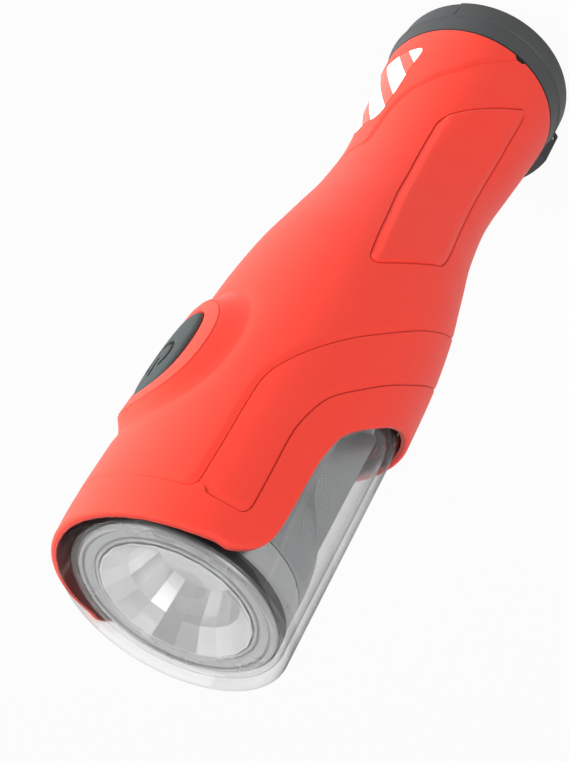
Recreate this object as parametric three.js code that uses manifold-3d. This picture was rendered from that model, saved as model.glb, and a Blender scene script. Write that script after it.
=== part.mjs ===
// Hand crank flashlight, standing on its crank cap with the lens up.
// Millimetres, +Z from the tail to the lens, the button on the -Y side, the clear window on +Y.
import * as THREE from 'three';
import { mergeVertices } from 'three/addons/utils/BufferGeometryUtils.js';
import Module from 'manifold-3d';

const wasm = await Module();
wasm.setup();

// Overall form: the red grip swells from a slim waist to the head
const overallLength = 206.4;
const headRadius = 30.8;
const lipTaper = 0.8;
const waistRadius = 22.2;
const tailRadius = 25.9;
const waistHeight = 57;
const headDepth = 26.4;
const gripWall = 2.4;

// Gaps shared by every seat, running fit and cut
const fitGap = 0.3;
const runningGap = 0.2;
const turningGap = 0.4;
const overrun = 1;

// Crank cap: the turning tail disc that holds the folded arm
const capRadius = 26.9;
const capHeight = 12.9;
const capBandHeight = 6.9;
const capShoulderRadius = 26;
const capChamfer = 0.7;
const capStep = 0.3;
const capWall = 2.2;
const capSkin = 1.1;
const capPocketStart = 11.5;
const capPocketReach = 16;
const capRib = 1.6;

// Folding crank arm, its knob and the hinge
const armThickness = 4.5;
const armRootHalfWidth = 3.6;
const armRootStraight = 12;
const armTipDrop = 0.7;
const armTipHalfAngle = 36;
const armPocketDepth = 2.2;
const armPocketHalfWidth = 2.4;
const armPocketHalfLength = 9;
const armPocketOffset = 6;
const lipThickness = 2.2;
const lipDrop = 2.1;
const hingeOffset = 26.2;
const hingeHeight = 2.4;
const hingePinRadius = 1;
const hingeBlockHalfWidth = 6.4;
const hingeBlockDepth = 4.7;
const hingeBlockRadius = 28.7;
const hingeBlockInset = 0.3;
const hingeKeyWidth = 1.3;
const hingeKeyDepth = 1.6;
const hingeKeyHeight = 2.5;
const knobOffset = 15.5;
const knobRadius = 6.5;
const knobHeight = 6.5;
const knobChamfer = 0.8;
const knobSwing = 1.3;
const rivetRadius = 1.9;
const rivetHeadRadius = 3.2;
const rivetHeadHeight = 0.9;
const knobRecess = 1.3;

// Crank shaft, its screw and its bearing
const shaftRadius = 2.5;
const shaftScrewHead = 2.9;
const shaftScrewHeadHeight = 1.7;
const shaftScrewRadius = 1.1;
const shaftScrewLength = 6;
const shaftGrip = 5.2;
const bearingWall = 1;
const bearingFlangeRadius = 4.9;
const bearingFlange = 0.6;

// Tail plate, gearbox plate and the posts between them
const tailPlateRadius = 23;
const tailPlateInset = 0.7;
const tailPlateThickness = 2.2;
const bearingBossRadius = 6.2;
const bearingBossHeight = 0.6;
const pinBossRadius = 2.4;
const postRadius = 2.2;
const postCircle = 17.2;
const postAngles = [105, 180, 322];
const gearboxPlateRadius = 19.4;
const gearboxPlateThickness = 1.8;
const plateBossHeight = 0.4;
const tailBossRadius = 2.8;
const tailBossCircle = 20.2;
const tailBossLength = 7.7;
const tailBossAngles = [30, 150, 270];

// Gear train from the crank to the generator
const gearModule = 0.7;
const crankTeeth = 27;
const pinionTeeth = 9;
const idlerTeeth = 20;
const wheelTeeth = 32;
const rotorTeeth = 8;
const backlash = 0.18;
const centreSlack = 0.1;
const crankGearWidth = 3.4;
const idlerWidth = 3;
const wheelWidth = 3;
const gearGap = 0.4;
const gearPinRadius = 1;
const wheelAxisDistance = 6;
const rotorAxisDistance = 8.1;
const pressureAngle = 20;

// Generator
const canRadius = 11;
const canLength = 13;
const canWall = 0.8;
const coilThickness = 2.5;
const coilInset = 0.9;
const magnetRadius = 6.6;
const magnetInset = 1.9;
const rotorShaftRadius = 1;

// Screws
const screwRadius = 1;
const screwHeadRadius = 2;
const screwClearance = 0.25;
const gearboxScrewLength = 24;
const tailScrewLength = 9;
const boardScrewLength = 6;
const lampScrewLength = 9;

// Chassis that carries the battery, the board and the lamp
const chassisRadius = 19.4;
const bulkheadThickness = 2;
const bulkheadGap = 1.1;
const trayInnerRadius = 15.8;
const trayWall = 1.6;
const trayLip = 2;
const railInner = 12.5;
const railOuter = 15.5;
const railLow = 4;
const railHigh = 10;
const frontBulkheadClearance = 4.2;
const bridgeThickness = 2;
const bridgeReach = 4;
const boardPostRadius = 2;
const boardPostOffset = 8;
const boardPostShares = [0.2069, 0.6207];
const wireNotchHalfWidth = 9;
const wireNotchDepth = 12.4;

// Battery of three cells side by side
const cellRadius = 7.1;
const cellLength = 28.7;
const cellSpacing = 8.3;
const cellTipRadius = 2.4;
const cellTipHeight = 0.8;
const contactThickness = 0.4;
const contactRadius = 13;

// Main board, its parts and the push button
const boardHalfWidth = 12;
const boardStartShare = 0.5269;
const boardFrontReach = 13;
const boardThickness = 1.6;
const boardSink = 9.2;
const switchSize = 6;
const switchHeight = 2.5;
const switchStemRadius = 1.7;
const switchStemLength = 1.7;
const switchStemReach = 3.3;
const switchBore = 2.1;
const chipWidth = 7;
const chipLength = 9;
const chipHeight = 1.4;
const chipSetback = 15;
const capacitorRadius = 3.2;
const capacitorLength = 8;
const capacitorX = 2.5;
const capacitorInset = 1.4;
const buttonDepth = 52.4;
const buttonHalfLength = 13.8;
const buttonHalfWidth = 7.9;
const buttonProud = 1.4;
const buttonEndProud = 0.7;
const buttonFlange = 1.2;
const buttonFlangeReach = 4.8;
const buttonFlangeThickness = 0.7;
const buttonNub = 0.5;
const buttonNubRadius = 2.2;

// Raised island round the button, side panels, stripe label and grooves
const islandHalfLength = 22.6;
const islandHalfAngle = 22.6;
const islandRise = 1.3;
const panelRise = 0.5;
const sheetRoot = 1;
const grooveRadius = 0.7;
const notchWidth = 3;
const notchDepth = 1.2;
const notchAngle = 88;
const labelThickness = 0.4;
const labelDepth = 0.7;
const labelSideGap = 0.3;

// Clear cover over the head
const clearInset = 2.8;
const clearWall = 1.8;
const clearDepth = 74.4;
const clearFrontThickness = 1.4;
const clearRimLip = 0.4;
const clearRimWidth = 2.2;
const clearCutDepth = 22.4;
const clearCutOffset = 3;
const rimRound = 0.9;

// Lamp: front bezel, reflector, housing and the lights
const bezelOpeningInset = 9.3;
const bezelRimInset = 4.7;
const bezelInset = 3.6;
const bezelDepth = 13.9;
const bezelFaceGap = 0.3;
const bezelDish = 0.7;
const bezelWall = 1.3;
const housingInset = 9.4;
const housingWall = 1.5;
const housingDepth = 63.1;
const housingFlareStartDepth = 43.4;
const housingFlareEndDepth = 16.4;
const boxSideInset = 2.6;
const boxFloorInset = 0.8;
const boxTop = 2;
const boxSeamRise = 8.4;
const boxSetback = 0.7;
const boxFrontDepth = 20.4;
const boxSlope = 8;
const partitionDepth = 36;
const partitionThickness = 1.6;
const partitionHole = 4;
const lampBossRadius = 2.4;
const lampBossInset = 3.8;
const lampBossY = 4;
const lampBossLength = 8;
const wireSlotHalfWidth = 2.5;
const wireSlotReach = 12.4;
const wireSlotLength = 7;
const boardRestHalfWidth = 3;
const boardRestSetback = 4.7;
const boardRestLength = 8;
const reflectorFacets = 18;
const reflectorBase = 4.6;
const reflectorDepth = 30.2;
const reflectorWall = 1;
const reflectorFlangeInset = 6.2;
const spotBoardRadius = 8;
const spotBoardThickness = 1.4;
const ledSize = 3.5;
const ledBaseHeight = 1.2;
const ledDomeRadius = 1.15;
const diffuserSideInset = 3.5;
const diffuserSetback = 4.5;
const diffuserFrontInset = 8.5;
const diffuserThickness = 1.4;
const diffuserProud = 0.6;
const diffuserLedge = 1.5;
const areaBoardSink = 5.2;
const areaBoardThickness = 1.2;
const areaBoardInset = 1.5;
const areaLedWidth = 3.5;
const areaLedLength = 2.8;
const areaLedHeight = 1.9;
const ledgeDepth = 2;
const ledgeThickness = 1.4;

// Internal leads, each a bonded pair
const leadRadius = 0.8;
const leadRise = 14;

// Numbers of facets
const roundSteps = 36;
const smallSteps = 10;
const screwSteps = 8;
const bowlSteps = 26;
const gripRows = 13;
const boreRows = 3;

// Shapes along the grip: share of the stretch, share of the change in radius
const tailBlendShares = [[0, 1], [0.19, 0.84], [0.574, 0.39], [0.85, 0.07], [1, 0]];
const headBlendShares = [[0, 0], [0.122, 0.105], [0.258, 0.419], [0.395, 0.733], [0.532, 0.884], [0.668, 0.93], [0.805, 0.965], [1, 1]];
const lipBlendShares = [[0, 0], [0.36, 0.02], [0.7, 0.35], [1, 1]];

// Front edge of the grip and of its window: angle from the button side, share of the overall length
const frontEdgeShares = [
  [0, 0.9976], [30, 0.9961], [58, 0.9918], [74, 0.9865], [81, 0.985], [89, 0.97], [93, 0.9535], [94.6, 0.932],
  [95, 0.9026], [95.3, 0.84], [96.6, 0.814], [99, 0.788], [105.5, 0.7607], [120, 0.7176], [128, 0.6996],
  [139, 0.6827], [158, 0.67], [180, 0.6662],
];

// Side panel outline: share of the overall length, angle of its upper and of its lower edge
const panelShares = [
  [0.127, 108, 111], [0.136, 103.5, 112.6], [0.155, 96, 113.4], [0.184, 83, 114.4], [0.215, 69.6, 115], [0.245, 61.3, 115.6],
  [0.283, 61.3, 116.1], [0.33, 61.9, 115], [0.381, 63.1, 113.3], [0.427, 64.6, 110.3], [0.47, 66, 105], [0.507, 67.2, 90.4],
  [0.536, 67.7, 80], [0.5515, 68.6, 73.5],
];

// Grooves in the skin: share of the overall length, angle from the button side
const tailGrooveShares = [
  [0.3246, 0], [0.309, 6], [0.3047, 14], [0.296, 20], [0.268, 21.5], [0.2403, 23.4], [0.2185, 27], [0.1948, 33.4],
  [0.1788, 40.8], [0.1623, 48], [0.1424, 57.7], [0.1143, 68.4], [0.0959, 76], [0.0683, 88],
];
const upperGrooveShares = [
  [0.945, 0], [0.945, 30], [0.944, 52], [0.937, 56.4], [0.92, 56.7], [0.868, 56.6], [0.819, 56.3], [0.7786, 56.9],
  [0.7476, 61.2], [0.7137, 68.9], [0.6705, 80.9], [0.626, 95.3], [0.5683, 114.5], [0.5242, 133],
];
const lowerGrooveShares = [
  [0.9452, 61.5], [0.9477, 69.3], [0.944, 77.1], [0.934, 79.4], [0.9, 79.4], [0.8745, 79.2], [0.8236, 79.2],
  [0.7853, 81.6], [0.7553, 86.1], [0.72, 96], [0.6807, 108], [0.6318, 125.7], [0.6008, 138.4],
];

// Stripe label outline: share of the overall length, half angle
const labelShares = [[0.1008, 26.8], [0.132, 24.4], [0.161, 22.1], [0.193, 19.8], [0.218, 17.6], [0.2374, 15.8]];

// Lamp housing flare: share of the flare's length, share of its growth
const flareShares = [[0, 0], [0.18, 0.08], [0.4, 0.42], [0.6, 0.8], [0.8, 0.97], [1, 1]];

// Reflector tiers: share of its depth, share of its growth in radius
const reflectorShares = [[0, 0], [0.25, 0.4], [0.6, 0.73], [1, 1]];

const degrees = Math.PI / 180;

// Finishes
function finish(color, roughness, metalness, opacity = 1) {
  return new THREE.MeshStandardMaterial({ color, roughness, metalness, opacity, transparent: opacity < 1 });
}
const redSkin = finish(0xff5346, 0.6, 0);
const charcoal = finish(0x45494a, 0.5, 0);
const blackGloss = finish(0x15171a, 0.2, 0);
const padRubber = finish(0x3b4042, 0.7, 0);
const clearPlastic = finish(0xf2f6f8, 0.05, 0, 0.3);
const silverPlastic = finish(0x9c9ea0, 0.35, 0.8);
const bezelSilver = finish(0xb4b6b8, 0.3, 0.8);
const mirrorCoat = finish(0xe6e8ea, 0.08, 1);
const greyPlastic = finish(0xb9bcbe, 0.55, 0);
const whiteBoard = finish(0xf4f4f0, 0.5, 0);
const greenBoard = finish(0x1f6b3a, 0.5, 0);
const ledYellow = finish(0xf3e27a, 0.35, 0);
const diffuserWhite = finish(0xe9eaec, 0.6, 0);
const labelWhite = finish(0xf7f7f7, 0.4, 0);
const steel = finish(0xb8bcc0, 0.35, 0.9);
const darkSteel = finish(0x6f7376, 0.45, 0.9);
const brass = finish(0xc9a24a, 0.35, 0.9);
const acetal = finish(0xf1efe6, 0.45, 0);
const copper = finish(0xb8693c, 0.35, 0.9);
const cellGreen = finish(0x2f8f5b, 0.4, 0);
const leadBlack = finish(0x202224, 0.6, 0);

// Solids from three.js geometry
function signedVolume(position, triangles) {
  const a = new THREE.Vector3();
  const b = new THREE.Vector3();
  const c = new THREE.Vector3();
  let sum = 0;
  for (let i = 0; i < triangles.length; i += 3) {
    a.fromArray(position, triangles[i] * 3);
    b.fromArray(position, triangles[i + 1] * 3);
    c.fromArray(position, triangles[i + 2] * 3);
    sum += a.dot(b.cross(c));
  }
  return sum / 6;
}

function toSolid(geometry) {
  geometry.deleteAttribute('normal');
  geometry.deleteAttribute('uv');
  const merged = mergeVertices(geometry);
  const position = Float32Array.from(merged.attributes.position.array);
  const index = merged.index.array;
  const triangles = [];
  for (let i = 0; i < index.length; i += 3) {
    const [p, q, r] = [index[i], index[i + 1], index[i + 2]];
    if (p !== q && q !== r && r !== p) triangles.push(p, q, r);
  }
  if (signedVolume(position, triangles) < 0) triangles.reverse();
  return new wasm.Manifold(new wasm.Mesh({ numProp: 3, vertProperties: position, triVerts: Uint32Array.from(triangles) }));
}

function toGeometry(solid) {
  const mesh = solid.getMesh();
  const geometry = new THREE.BufferGeometry();
  geometry.setAttribute('position', new THREE.BufferAttribute(Float32Array.from(mesh.vertProperties), 3));
  geometry.setIndex(new THREE.BufferAttribute(Uint32Array.from(mesh.triVerts), 1));
  geometry.computeVertexNormals();
  return geometry;
}

const joined = (...solids) => solids.reduce((sum, solid) => sum.add(solid));
const cutBy = (solid, ...tools) => tools.reduce((rest, tool) => rest.subtract(tool), solid);

// A revolve about Z of [radius, height] points that start and end on the axis or close on themselves
function revolve(points, steps = roundSteps) {
  const closed = points[0][0] > 0 ? [...points, points[0]] : points;
  const geometry = new THREE.LatheGeometry(closed.map(([r, z]) => new THREE.Vector2(r, z)), steps);
  return toSolid(geometry.rotateX(Math.PI / 2));
}

function rod(radius, low, high, x = 0, y = 0, steps = smallSteps) {
  const geometry = new THREE.CylinderGeometry(radius, radius, high - low, steps);
  return toSolid(geometry.rotateX(Math.PI / 2).translate(x, y, (low + high) / 2));
}

function crossRod(radius, halfWidth, y, z, steps = smallSteps) {
  const geometry = new THREE.CylinderGeometry(radius, radius, halfWidth * 2, steps);
  return toSolid(geometry.rotateZ(Math.PI / 2).translate(0, y, z));
}

// A round peg along Y
function peg(radius, low, high, x, z, steps = smallSteps) {
  const geometry = new THREE.CylinderGeometry(radius, radius, high - low, steps);
  return toSolid(geometry.translate(x, (low + high) / 2, z));
}

function block(x0, x1, y0, y1, z0, z1) {
  const geometry = new THREE.BoxGeometry(x1 - x0, y1 - y0, z1 - z0);
  return toSolid(geometry.translate((x0 + x1) / 2, (y0 + y1) / 2, (z0 + z1) / 2));
}

function prism(shape, low, high, curveSegments = 8) {
  const geometry = new THREE.ExtrudeGeometry(shape, { depth: high - low, bevelEnabled: false, curveSegments });
  return toSolid(geometry.translate(0, 0, low));
}

// A prism across the flashlight from an outline of [y, z] points
function crossPrism(points, halfWidth) {
  const shape = new THREE.Shape(points.map(([y, z]) => new THREE.Vector2(y, z)));
  const geometry = new THREE.ExtrudeGeometry(shape, { depth: halfWidth * 2, bevelEnabled: false });
  const turn = new THREE.Matrix4().makeBasis(
    new THREE.Vector3(0, 1, 0), new THREE.Vector3(0, 0, 1), new THREE.Vector3(1, 0, 0));
  return toSolid(geometry.translate(0, 0, -halfWidth).applyMatrix4(turn));
}

// An oval prism along Y, rounded like a racetrack that bulges at its sides
function ovalPrism(halfWidth, halfLength, y0, y1, centreZ, steps = 28) {
  const points = [];
  for (let i = 0; i < steps; i += 1) {
    const angle = (i / steps) * 2 * Math.PI;
    const squared = (value) => Math.sign(value) * Math.abs(value) ** 0.82;
    points.push(new THREE.Vector2(halfWidth * squared(Math.cos(angle)), halfLength * squared(Math.sin(angle))));
  }
  const geometry = new THREE.ExtrudeGeometry(new THREE.Shape(points), { depth: y1 - y0, bevelEnabled: false });
  return toSolid(geometry.rotateX(Math.PI / 2).translate(0, y1, centreZ));
}

// The closed body between two grids of points; a wrapped grid closes on itself along its columns
function slab(outer, inner, wrapped = false) {
  const rows = outer.length;
  const columns = outer[0].length;
  const points = [...outer.flat(), ...inner.flat()];
  const at = (side, row, column) => side * rows * columns + row * columns + (column % columns);
  const triangles = [];
  const quad = (a, b, c, d) => triangles.push(a, b, c, a, c, d);
  const lastColumn = wrapped ? columns : columns - 1;
  for (let j = 0; j < lastColumn; j += 1) {
    for (let i = 0; i < rows - 1; i += 1) {
      quad(at(0, i, j), at(0, i, j + 1), at(0, i + 1, j + 1), at(0, i + 1, j));
      quad(at(1, i, j), at(1, i + 1, j), at(1, i + 1, j + 1), at(1, i, j + 1));
    }
    quad(at(0, 0, j), at(1, 0, j), at(1, 0, j + 1), at(0, 0, j + 1));
    quad(at(0, rows - 1, j), at(0, rows - 1, j + 1), at(1, rows - 1, j + 1), at(1, rows - 1, j));
  }
  for (let i = 0; i < rows - 1 && !wrapped; i += 1) {
    const end = columns - 1;
    quad(at(0, i, 0), at(0, i + 1, 0), at(1, i + 1, 0), at(1, i, 0));
    quad(at(0, i, end), at(1, i, end), at(1, i + 1, end), at(0, i + 1, end));
  }
  const geometry = new THREE.BufferGeometry().setFromPoints(points);
  geometry.setIndex(triangles);
  return toSolid(geometry);
}

// A tube along a smooth curve through the given points
function tube(points, radius, steps, sides = 4) {
  const ring = [];
  for (let i = 0; i < sides; i += 1) {
    const angle = (i / sides) * 2 * Math.PI;
    ring.push(new THREE.Vector2(radius * Math.cos(angle), radius * Math.sin(angle)));
  }
  const extrudePath = new THREE.CatmullRomCurve3(points);
  return toSolid(new THREE.ExtrudeGeometry(new THREE.Shape(ring), { steps, bevelEnabled: false, extrudePath }));
}

// Value of a table of shares at a share, by a smooth curve that doesn't overshoot
function blend(table, share) {
  const s = Math.min(Math.max(share, 0), 1);
  const last = table.length - 1;
  const i = Math.max(0, Math.min(last - 1, table.findIndex(([start]) => start > s) - 1));
  const k = s >= 1 ? last - 1 : i;
  const slope = (n) => (table[n + 1][1] - table[n][1]) / (table[n + 1][0] - table[n][0]);
  const bend = (n) => {
    if (n === 0 || n === last) return 0;
    const [before, after] = [slope(n - 1), slope(n)];
    return before * after > 0 ? (2 * before * after) / (before + after) : 0;
  };
  const width = table[k + 1][0] - table[k][0];
  const u = (s - table[k][0]) / width;
  const [a, b] = [table[k][1], table[k + 1][1]];
  const rise = (1 - u) * (1 - u) * u * width * bend(k) - (1 - u) * u * u * width * bend(k + 1);
  return a + (b - a) * u * u * (3 - 2 * u) + rise;
}

// Radii of the head, from the grip's own
const lipRadius = headRadius - lipTaper;
const clearRadius = headRadius - clearInset;
const bezelOuter = clearRadius - bezelInset;
const bezelRim = clearRadius - bezelRimInset;
const bezelOpening = clearRadius - bezelOpeningInset;
const housingRadius = clearRadius - housingInset;
const reflectorRadius = housingRadius;
const reflectorFlange = clearRadius - reflectorFlangeInset;
const boxHalfWidth = housingRadius - boxSideInset;
const boxFloor = housingRadius - boxFloorInset;
const boxSeam = boxFloor - boxSeamRise;
const areaBoardFace = boxFloor - areaBoardSink;
const diffuserHalfWidth = boxHalfWidth - diffuserSideInset;
const lampBossX = housingRadius - lampBossInset;
const frontBulkheadRadius = clearRadius - clearWall - frontBulkheadClearance;
const boardFace = headRadius - boardSink;
const switchStemTop = boardFace + switchStemReach;
const buttonFlangeFace = boardFace + buttonFlangeReach;
const buttonCrown = headRadius + buttonProud;
const buttonEndRadius = headRadius + buttonEndProud;

// Heights that follow from the sizes above
const gripRear = capHeight + turningGap;
const tailPlateZ = gripRear + tailPlateInset;
const tailPlateTop = tailPlateZ + tailPlateThickness;
const bearingTop = tailPlateTop + bearingBossHeight;
const crankGearZ = bearingTop + fitGap;
const crankGearTop = crankGearZ + crankGearWidth;
const idlerZ = crankGearTop + gearGap;
const idlerTop = idlerZ + idlerWidth;
const wheelZ = idlerTop + gearGap;
const wheelTop = wheelZ + wheelWidth;
const gearboxPlateZ = wheelTop + plateBossHeight + fitGap;
const gearboxPlateTop = gearboxPlateZ + gearboxPlateThickness;
const canZ = gearboxPlateTop + fitGap;
const canTop = canZ + canLength;
const rearBulkheadZ = canTop + bulkheadGap;
const rearBulkheadTop = rearBulkheadZ + bulkheadThickness;
const rearContactZ = rearBulkheadTop + fitGap;
const cellZ = rearContactZ + contactThickness + fitGap;
const cellTop = cellZ + cellLength;
const frontContactZ = cellTop + cellTipHeight + fitGap;
const trayWallZ = frontContactZ + contactThickness + fitGap;
const trayTop = trayWallZ + bulkheadThickness;
const clearFront = overallLength - clearRimLip;
const clearInside = clearFront - clearFrontThickness;
const bezelFront = clearInside - bezelFaceGap;
const armTipRadius = capRadius - armTipDrop;
const armRecessDepth = armThickness + fitGap;
const screwPocketDepth = armRecessDepth + shaftScrewHeadHeight + fitGap;
const shaftZ = capHeight - shaftGrip;
const knobZ = armThickness + fitGap;
const knobTop = knobZ + knobHeight;

// Heights in the head, measured back from the front
const headHeight = overallLength - headDepth;
const clearRear = overallLength - clearDepth;
const clearCutHeight = overallLength - clearCutDepth;
const bezelRear = overallLength - bezelDepth;
const housingRear = overallLength - housingDepth;
const housingFlareStart = overallLength - housingFlareStartDepth;
const housingFlareEnd = overallLength - housingFlareEndDepth;
const boxRear = housingRear + boxSetback;
const boxFront = overallLength - boxFrontDepth;
const partitionZ = overallLength - partitionDepth;
const wireSlotZ = partitionZ - wireSlotReach;
const boardRestZ = housingRear + boardRestSetback;
const reflectorZ = overallLength - reflectorDepth;
const diffuserZ = boxRear + diffuserSetback;
const diffuserLength = boxFront - diffuserFrontInset - diffuserZ;
const frontBulkheadZ = housingRear - fitGap - bulkheadThickness;
const buttonZ = overallLength - buttonDepth;
const chipZ = buttonZ - chipSetback;
const spotBoardZ = partitionZ + partitionThickness + fitGap;
const boardZ = trayTop + (frontBulkheadZ - trayTop) * boardStartShare;
const boardFront = buttonZ + boardFrontReach;
const boardPostZs = boardPostShares.map((share) => boardZ + (frontBulkheadZ - boardZ) * share);
const bridgeZ = boardZ - bridgeReach;
const bridgeEnd = frontBulkheadZ + bulkheadThickness / 2;

function gripRadius(z) {
  if (z < waistHeight) {
    return waistRadius + (tailRadius - waistRadius) * blend(tailBlendShares, (z - gripRear) / (waistHeight - gripRear));
  }
  if (z < headHeight) {
    return waistRadius + (headRadius - waistRadius) * blend(headBlendShares, (z - waistHeight) / (headHeight - waistHeight));
  }
  return headRadius - (headRadius - lipRadius) * blend(lipBlendShares, (z - headHeight) / (overallLength - headHeight));
}

// A point at an angle from the button side, towards -X
function around(angle, radius, z) {
  return new THREE.Vector3(-radius * Math.sin(angle * degrees), -radius * Math.cos(angle * degrees), z);
}

const onGrip = (angle, z, rise) => around(angle, gripRadius(z) + rise, z);
const polar = (angle, radius) => [radius * Math.cos(angle * degrees), radius * Math.sin(angle * degrees)];

// Red grip
function gripBody() {
  const outer = [];
  for (let i = 0; i <= gripRows; i += 1) {
    const z = gripRear + (overallLength - gripRear) * (i / gripRows);
    outer.push([gripRadius(z), z]);
  }
  const boreLow = tailPlateTop + fitGap / 2;
  const socketRadius = clearRadius + fitGap;
  const socketLow = clearRear - fitGap;
  const inner = [[socketRadius, overallLength], [socketRadius, socketLow]];
  for (let i = 0; i <= boreRows; i += 1) {
    const z = socketLow + (boreLow - socketLow) * (i / boreRows);
    inner.push([Math.min(gripRadius(z) - gripWall, socketRadius - gripWall / 2), z]);
  }
  const seat = tailPlateRadius + fitGap;
  return revolve([...outer, ...inner, [seat, boreLow], [seat, gripRear]]);
}

// Everything in front of the grip's wavy front edge and its window
function frontTrim() {
  const half = frontEdgeShares.map(([angle, share]) => [angle, share * overallLength]);
  const mirrored = half.slice(1, -1).reverse().map(([angle, z]) => [360 - angle, z]);
  const edge = [...half, ...mirrored];
  const grid = (radius) => [
    edge.map(([angle, z]) => around(angle, radius, z)),
    edge.map(([angle]) => around(angle, radius, overallLength + overrun)),
  ];
  return slab(grid(headRadius + gripWall * 2), grid(clearRadius - gripWall * 2), true);
}

function sidePanel(side) {
  const rows = panelShares.map(([share, upper, lower]) => {
    const z = share * overallLength;
    return [0, 0.25, 0.5, 0.75, 1].map((across) => [side * (upper + (lower - upper) * across), z]);
  });
  const outer = rows.map((row) => row.map(([angle, z]) => onGrip(angle, z, panelRise)));
  const inner = rows.map((row) => row.map(([angle, z]) => onGrip(angle, z, -sheetRoot)));
  return slab(outer, inner);
}

function buttonIsland() {
  const outer = [];
  const inner = [];
  const rows = 12;
  const columns = 10;
  for (let i = 0; i <= rows; i += 1) {
    const along = Math.sin((i / rows - 0.5) * Math.PI);
    const z = buttonZ + islandHalfLength * along;
    const halfAngle = Math.max(islandHalfAngle * Math.sqrt(1 - along * along), 1);
    const angles = Array.from({ length: columns + 1 }, (_, j) => (j / columns) * 2 - 1);
    outer.push(angles.map((u) => {
      const edge = Math.min(1, (along * along + u * u * (1 - along * along)) ** 2);
      return onGrip(u * halfAngle, z, islandRise * (1 - edge) - edge * fitGap);
    }));
    inner.push(angles.map((u) => onGrip(u * halfAngle, z, -sheetRoot)));
  }
  return slab(outer, inner);
}

function groove(shares, side, steps) {
  const points = shares.map(([share, angle]) => onGrip(side * angle, share * overallLength, 0));
  return tube(points, grooveRadius, steps);
}

function islandGroove(side) {
  const points = [];
  const count = 10;
  for (let i = 0; i <= count; i += 1) {
    const turn = (i / count) * Math.PI;
    const z = buttonZ - (islandHalfLength - grooveRadius) * Math.cos(turn);
    points.push(onGrip(side * islandHalfAngle * Math.sin(turn), z, 0));
  }
  return tube(points, grooveRadius, 8);
}

function stripeSheet(rise, depth, grow) {
  const rows = labelShares.map(([share, halfAngle], i) => {
    const end = i === 0 ? -grow : 0;
    const z = share * overallLength + (i === labelShares.length - 1 ? grow : end);
    const grown = halfAngle + grow / (gripRadius(z) * degrees);
    return [-1, -0.66, -0.33, 0, 0.33, 0.66, 1].map((u) => [u * grown, z]);
  });
  const outer = rows.map((row) => row.map(([angle, z]) => onGrip(angle, z, rise)));
  const inner = rows.map((row) => row.map(([angle, z]) => onGrip(angle, z, -depth)));
  return slab(outer, inner);
}

function gripShell() {
  const tailBosses = tailBossAngles.map((angle) => {
    const [x, y] = polar(angle, tailBossCircle);
    return rod(tailBossRadius, tailPlateTop + fitGap / 2, tailPlateTop + tailBossLength, x, y);
  });
  const pilots = tailBossAngles.map((angle) => {
    const [x, y] = polar(angle, tailBossCircle);
    return rod(screwRadius + runningGap, tailPlateZ, tailPlateZ + tailScrewLength + fitGap, x, y, screwSteps);
  });
  const edgeNotch = around(notchAngle, tailRadius, gripRear);
  const notch = block(edgeNotch.x - notchDepth, edgeNotch.x + notchDepth, edgeNotch.y - notchWidth / 2,
    edgeNotch.y + notchWidth / 2, gripRear - overrun, gripRear + notchDepth);
  const body = joined(gripBody(), sidePanel(1), sidePanel(-1), buttonIsland(), ...tailBosses);
  const sides = [1, -1];
  return cutBy(
    body,
    frontTrim(),
    ovalPrism(buttonHalfWidth + fitGap, buttonHalfLength + fitGap, -headRadius - gripWall * 2, -clearRadius + gripWall * 2, buttonZ),
    stripeSheet(overrun, labelDepth, labelSideGap),
    notch,
    ...sides.map((side) => groove(tailGrooveShares, side, 9)),
    ...sides.map((side) => groove(upperGrooveShares, side, 11)),
    ...sides.map((side) => groove(lowerGrooveShares, side, 9)),
    ...sides.map(islandGroove),
    ...pilots,
  );
}

// Clear cover: a full cup in front, a half tube behind the window
function clearCover() {
  const inside = clearRadius - clearWall;
  const rimInner = clearRadius - clearRimWidth;
  const cup = revolve([
    [0, clearInside], [inside, clearInside], [inside, clearRear], [clearRadius, clearRear],
    [clearRadius, overallLength - rimRound], [clearRadius - rimRound * 0.3, overallLength - rimRound * 0.3],
    [clearRadius - rimRound, overallLength], [rimInner, overallLength], [rimInner - clearRimLip, clearFront], [0, clearFront],
  ]);
  const topCut = block(-headRadius, headRadius, -headRadius, -clearCutOffset, clearRear - overrun, clearCutHeight);
  return cutBy(cup, topCut);
}

// Silver front bezel: a collar over the housing with a dished ring
function frontBezel() {
  return revolve([
    [bezelOuter, bezelRear], [bezelOuter, bezelFront - bezelWall], [bezelRim, bezelFront], [bezelRim - bezelDish, bezelFront],
    [bezelRim - bezelDish * 2, bezelFront - bezelDish], [bezelOpening + bezelDish, bezelFront - bezelDish],
    [bezelOpening, bezelFront - bezelDish * 1.6], [bezelOpening, bezelFront - bezelWall * 2],
    [bezelRim - bezelWall, bezelFront - bezelWall * 2], [bezelOuter - bezelWall, bezelFront - bezelWall * 3],
    [bezelOuter - bezelWall, bezelRear],
  ]);
}

// Faceted reflector with a flange behind the bezel
function reflectorBowl() {
  const mouth = bezelFront - bezelWall * 2 - fitGap;
  const inner = reflectorShares.map(([depth, growth]) => [
    reflectorBase + (reflectorRadius - reflectorBase) * growth,
    reflectorZ + (mouth - reflectorZ) * depth,
  ]);
  const outer = inner.map(([r, z], i) => [r + reflectorWall, i === 0 ? z : z - reflectorWall / 2]).reverse();
  outer[0][1] = mouth - reflectorWall;
  return revolve([...inner, [reflectorFlange, mouth], [reflectorFlange, mouth - reflectorWall], ...outer], reflectorFacets);
}

function housingProfile(shrink, low, high) {
  const full = bezelOuter - shrink;
  const start = housingRadius - shrink;
  const points = [[0, low], [start, low]];
  for (const [along, growth] of flareShares) {
    points.push([start + (full - start) * growth, housingFlareStart + (housingFlareEnd - housingFlareStart) * along]);
  }
  return [...points, [full, high], [0, high]];
}

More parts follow.
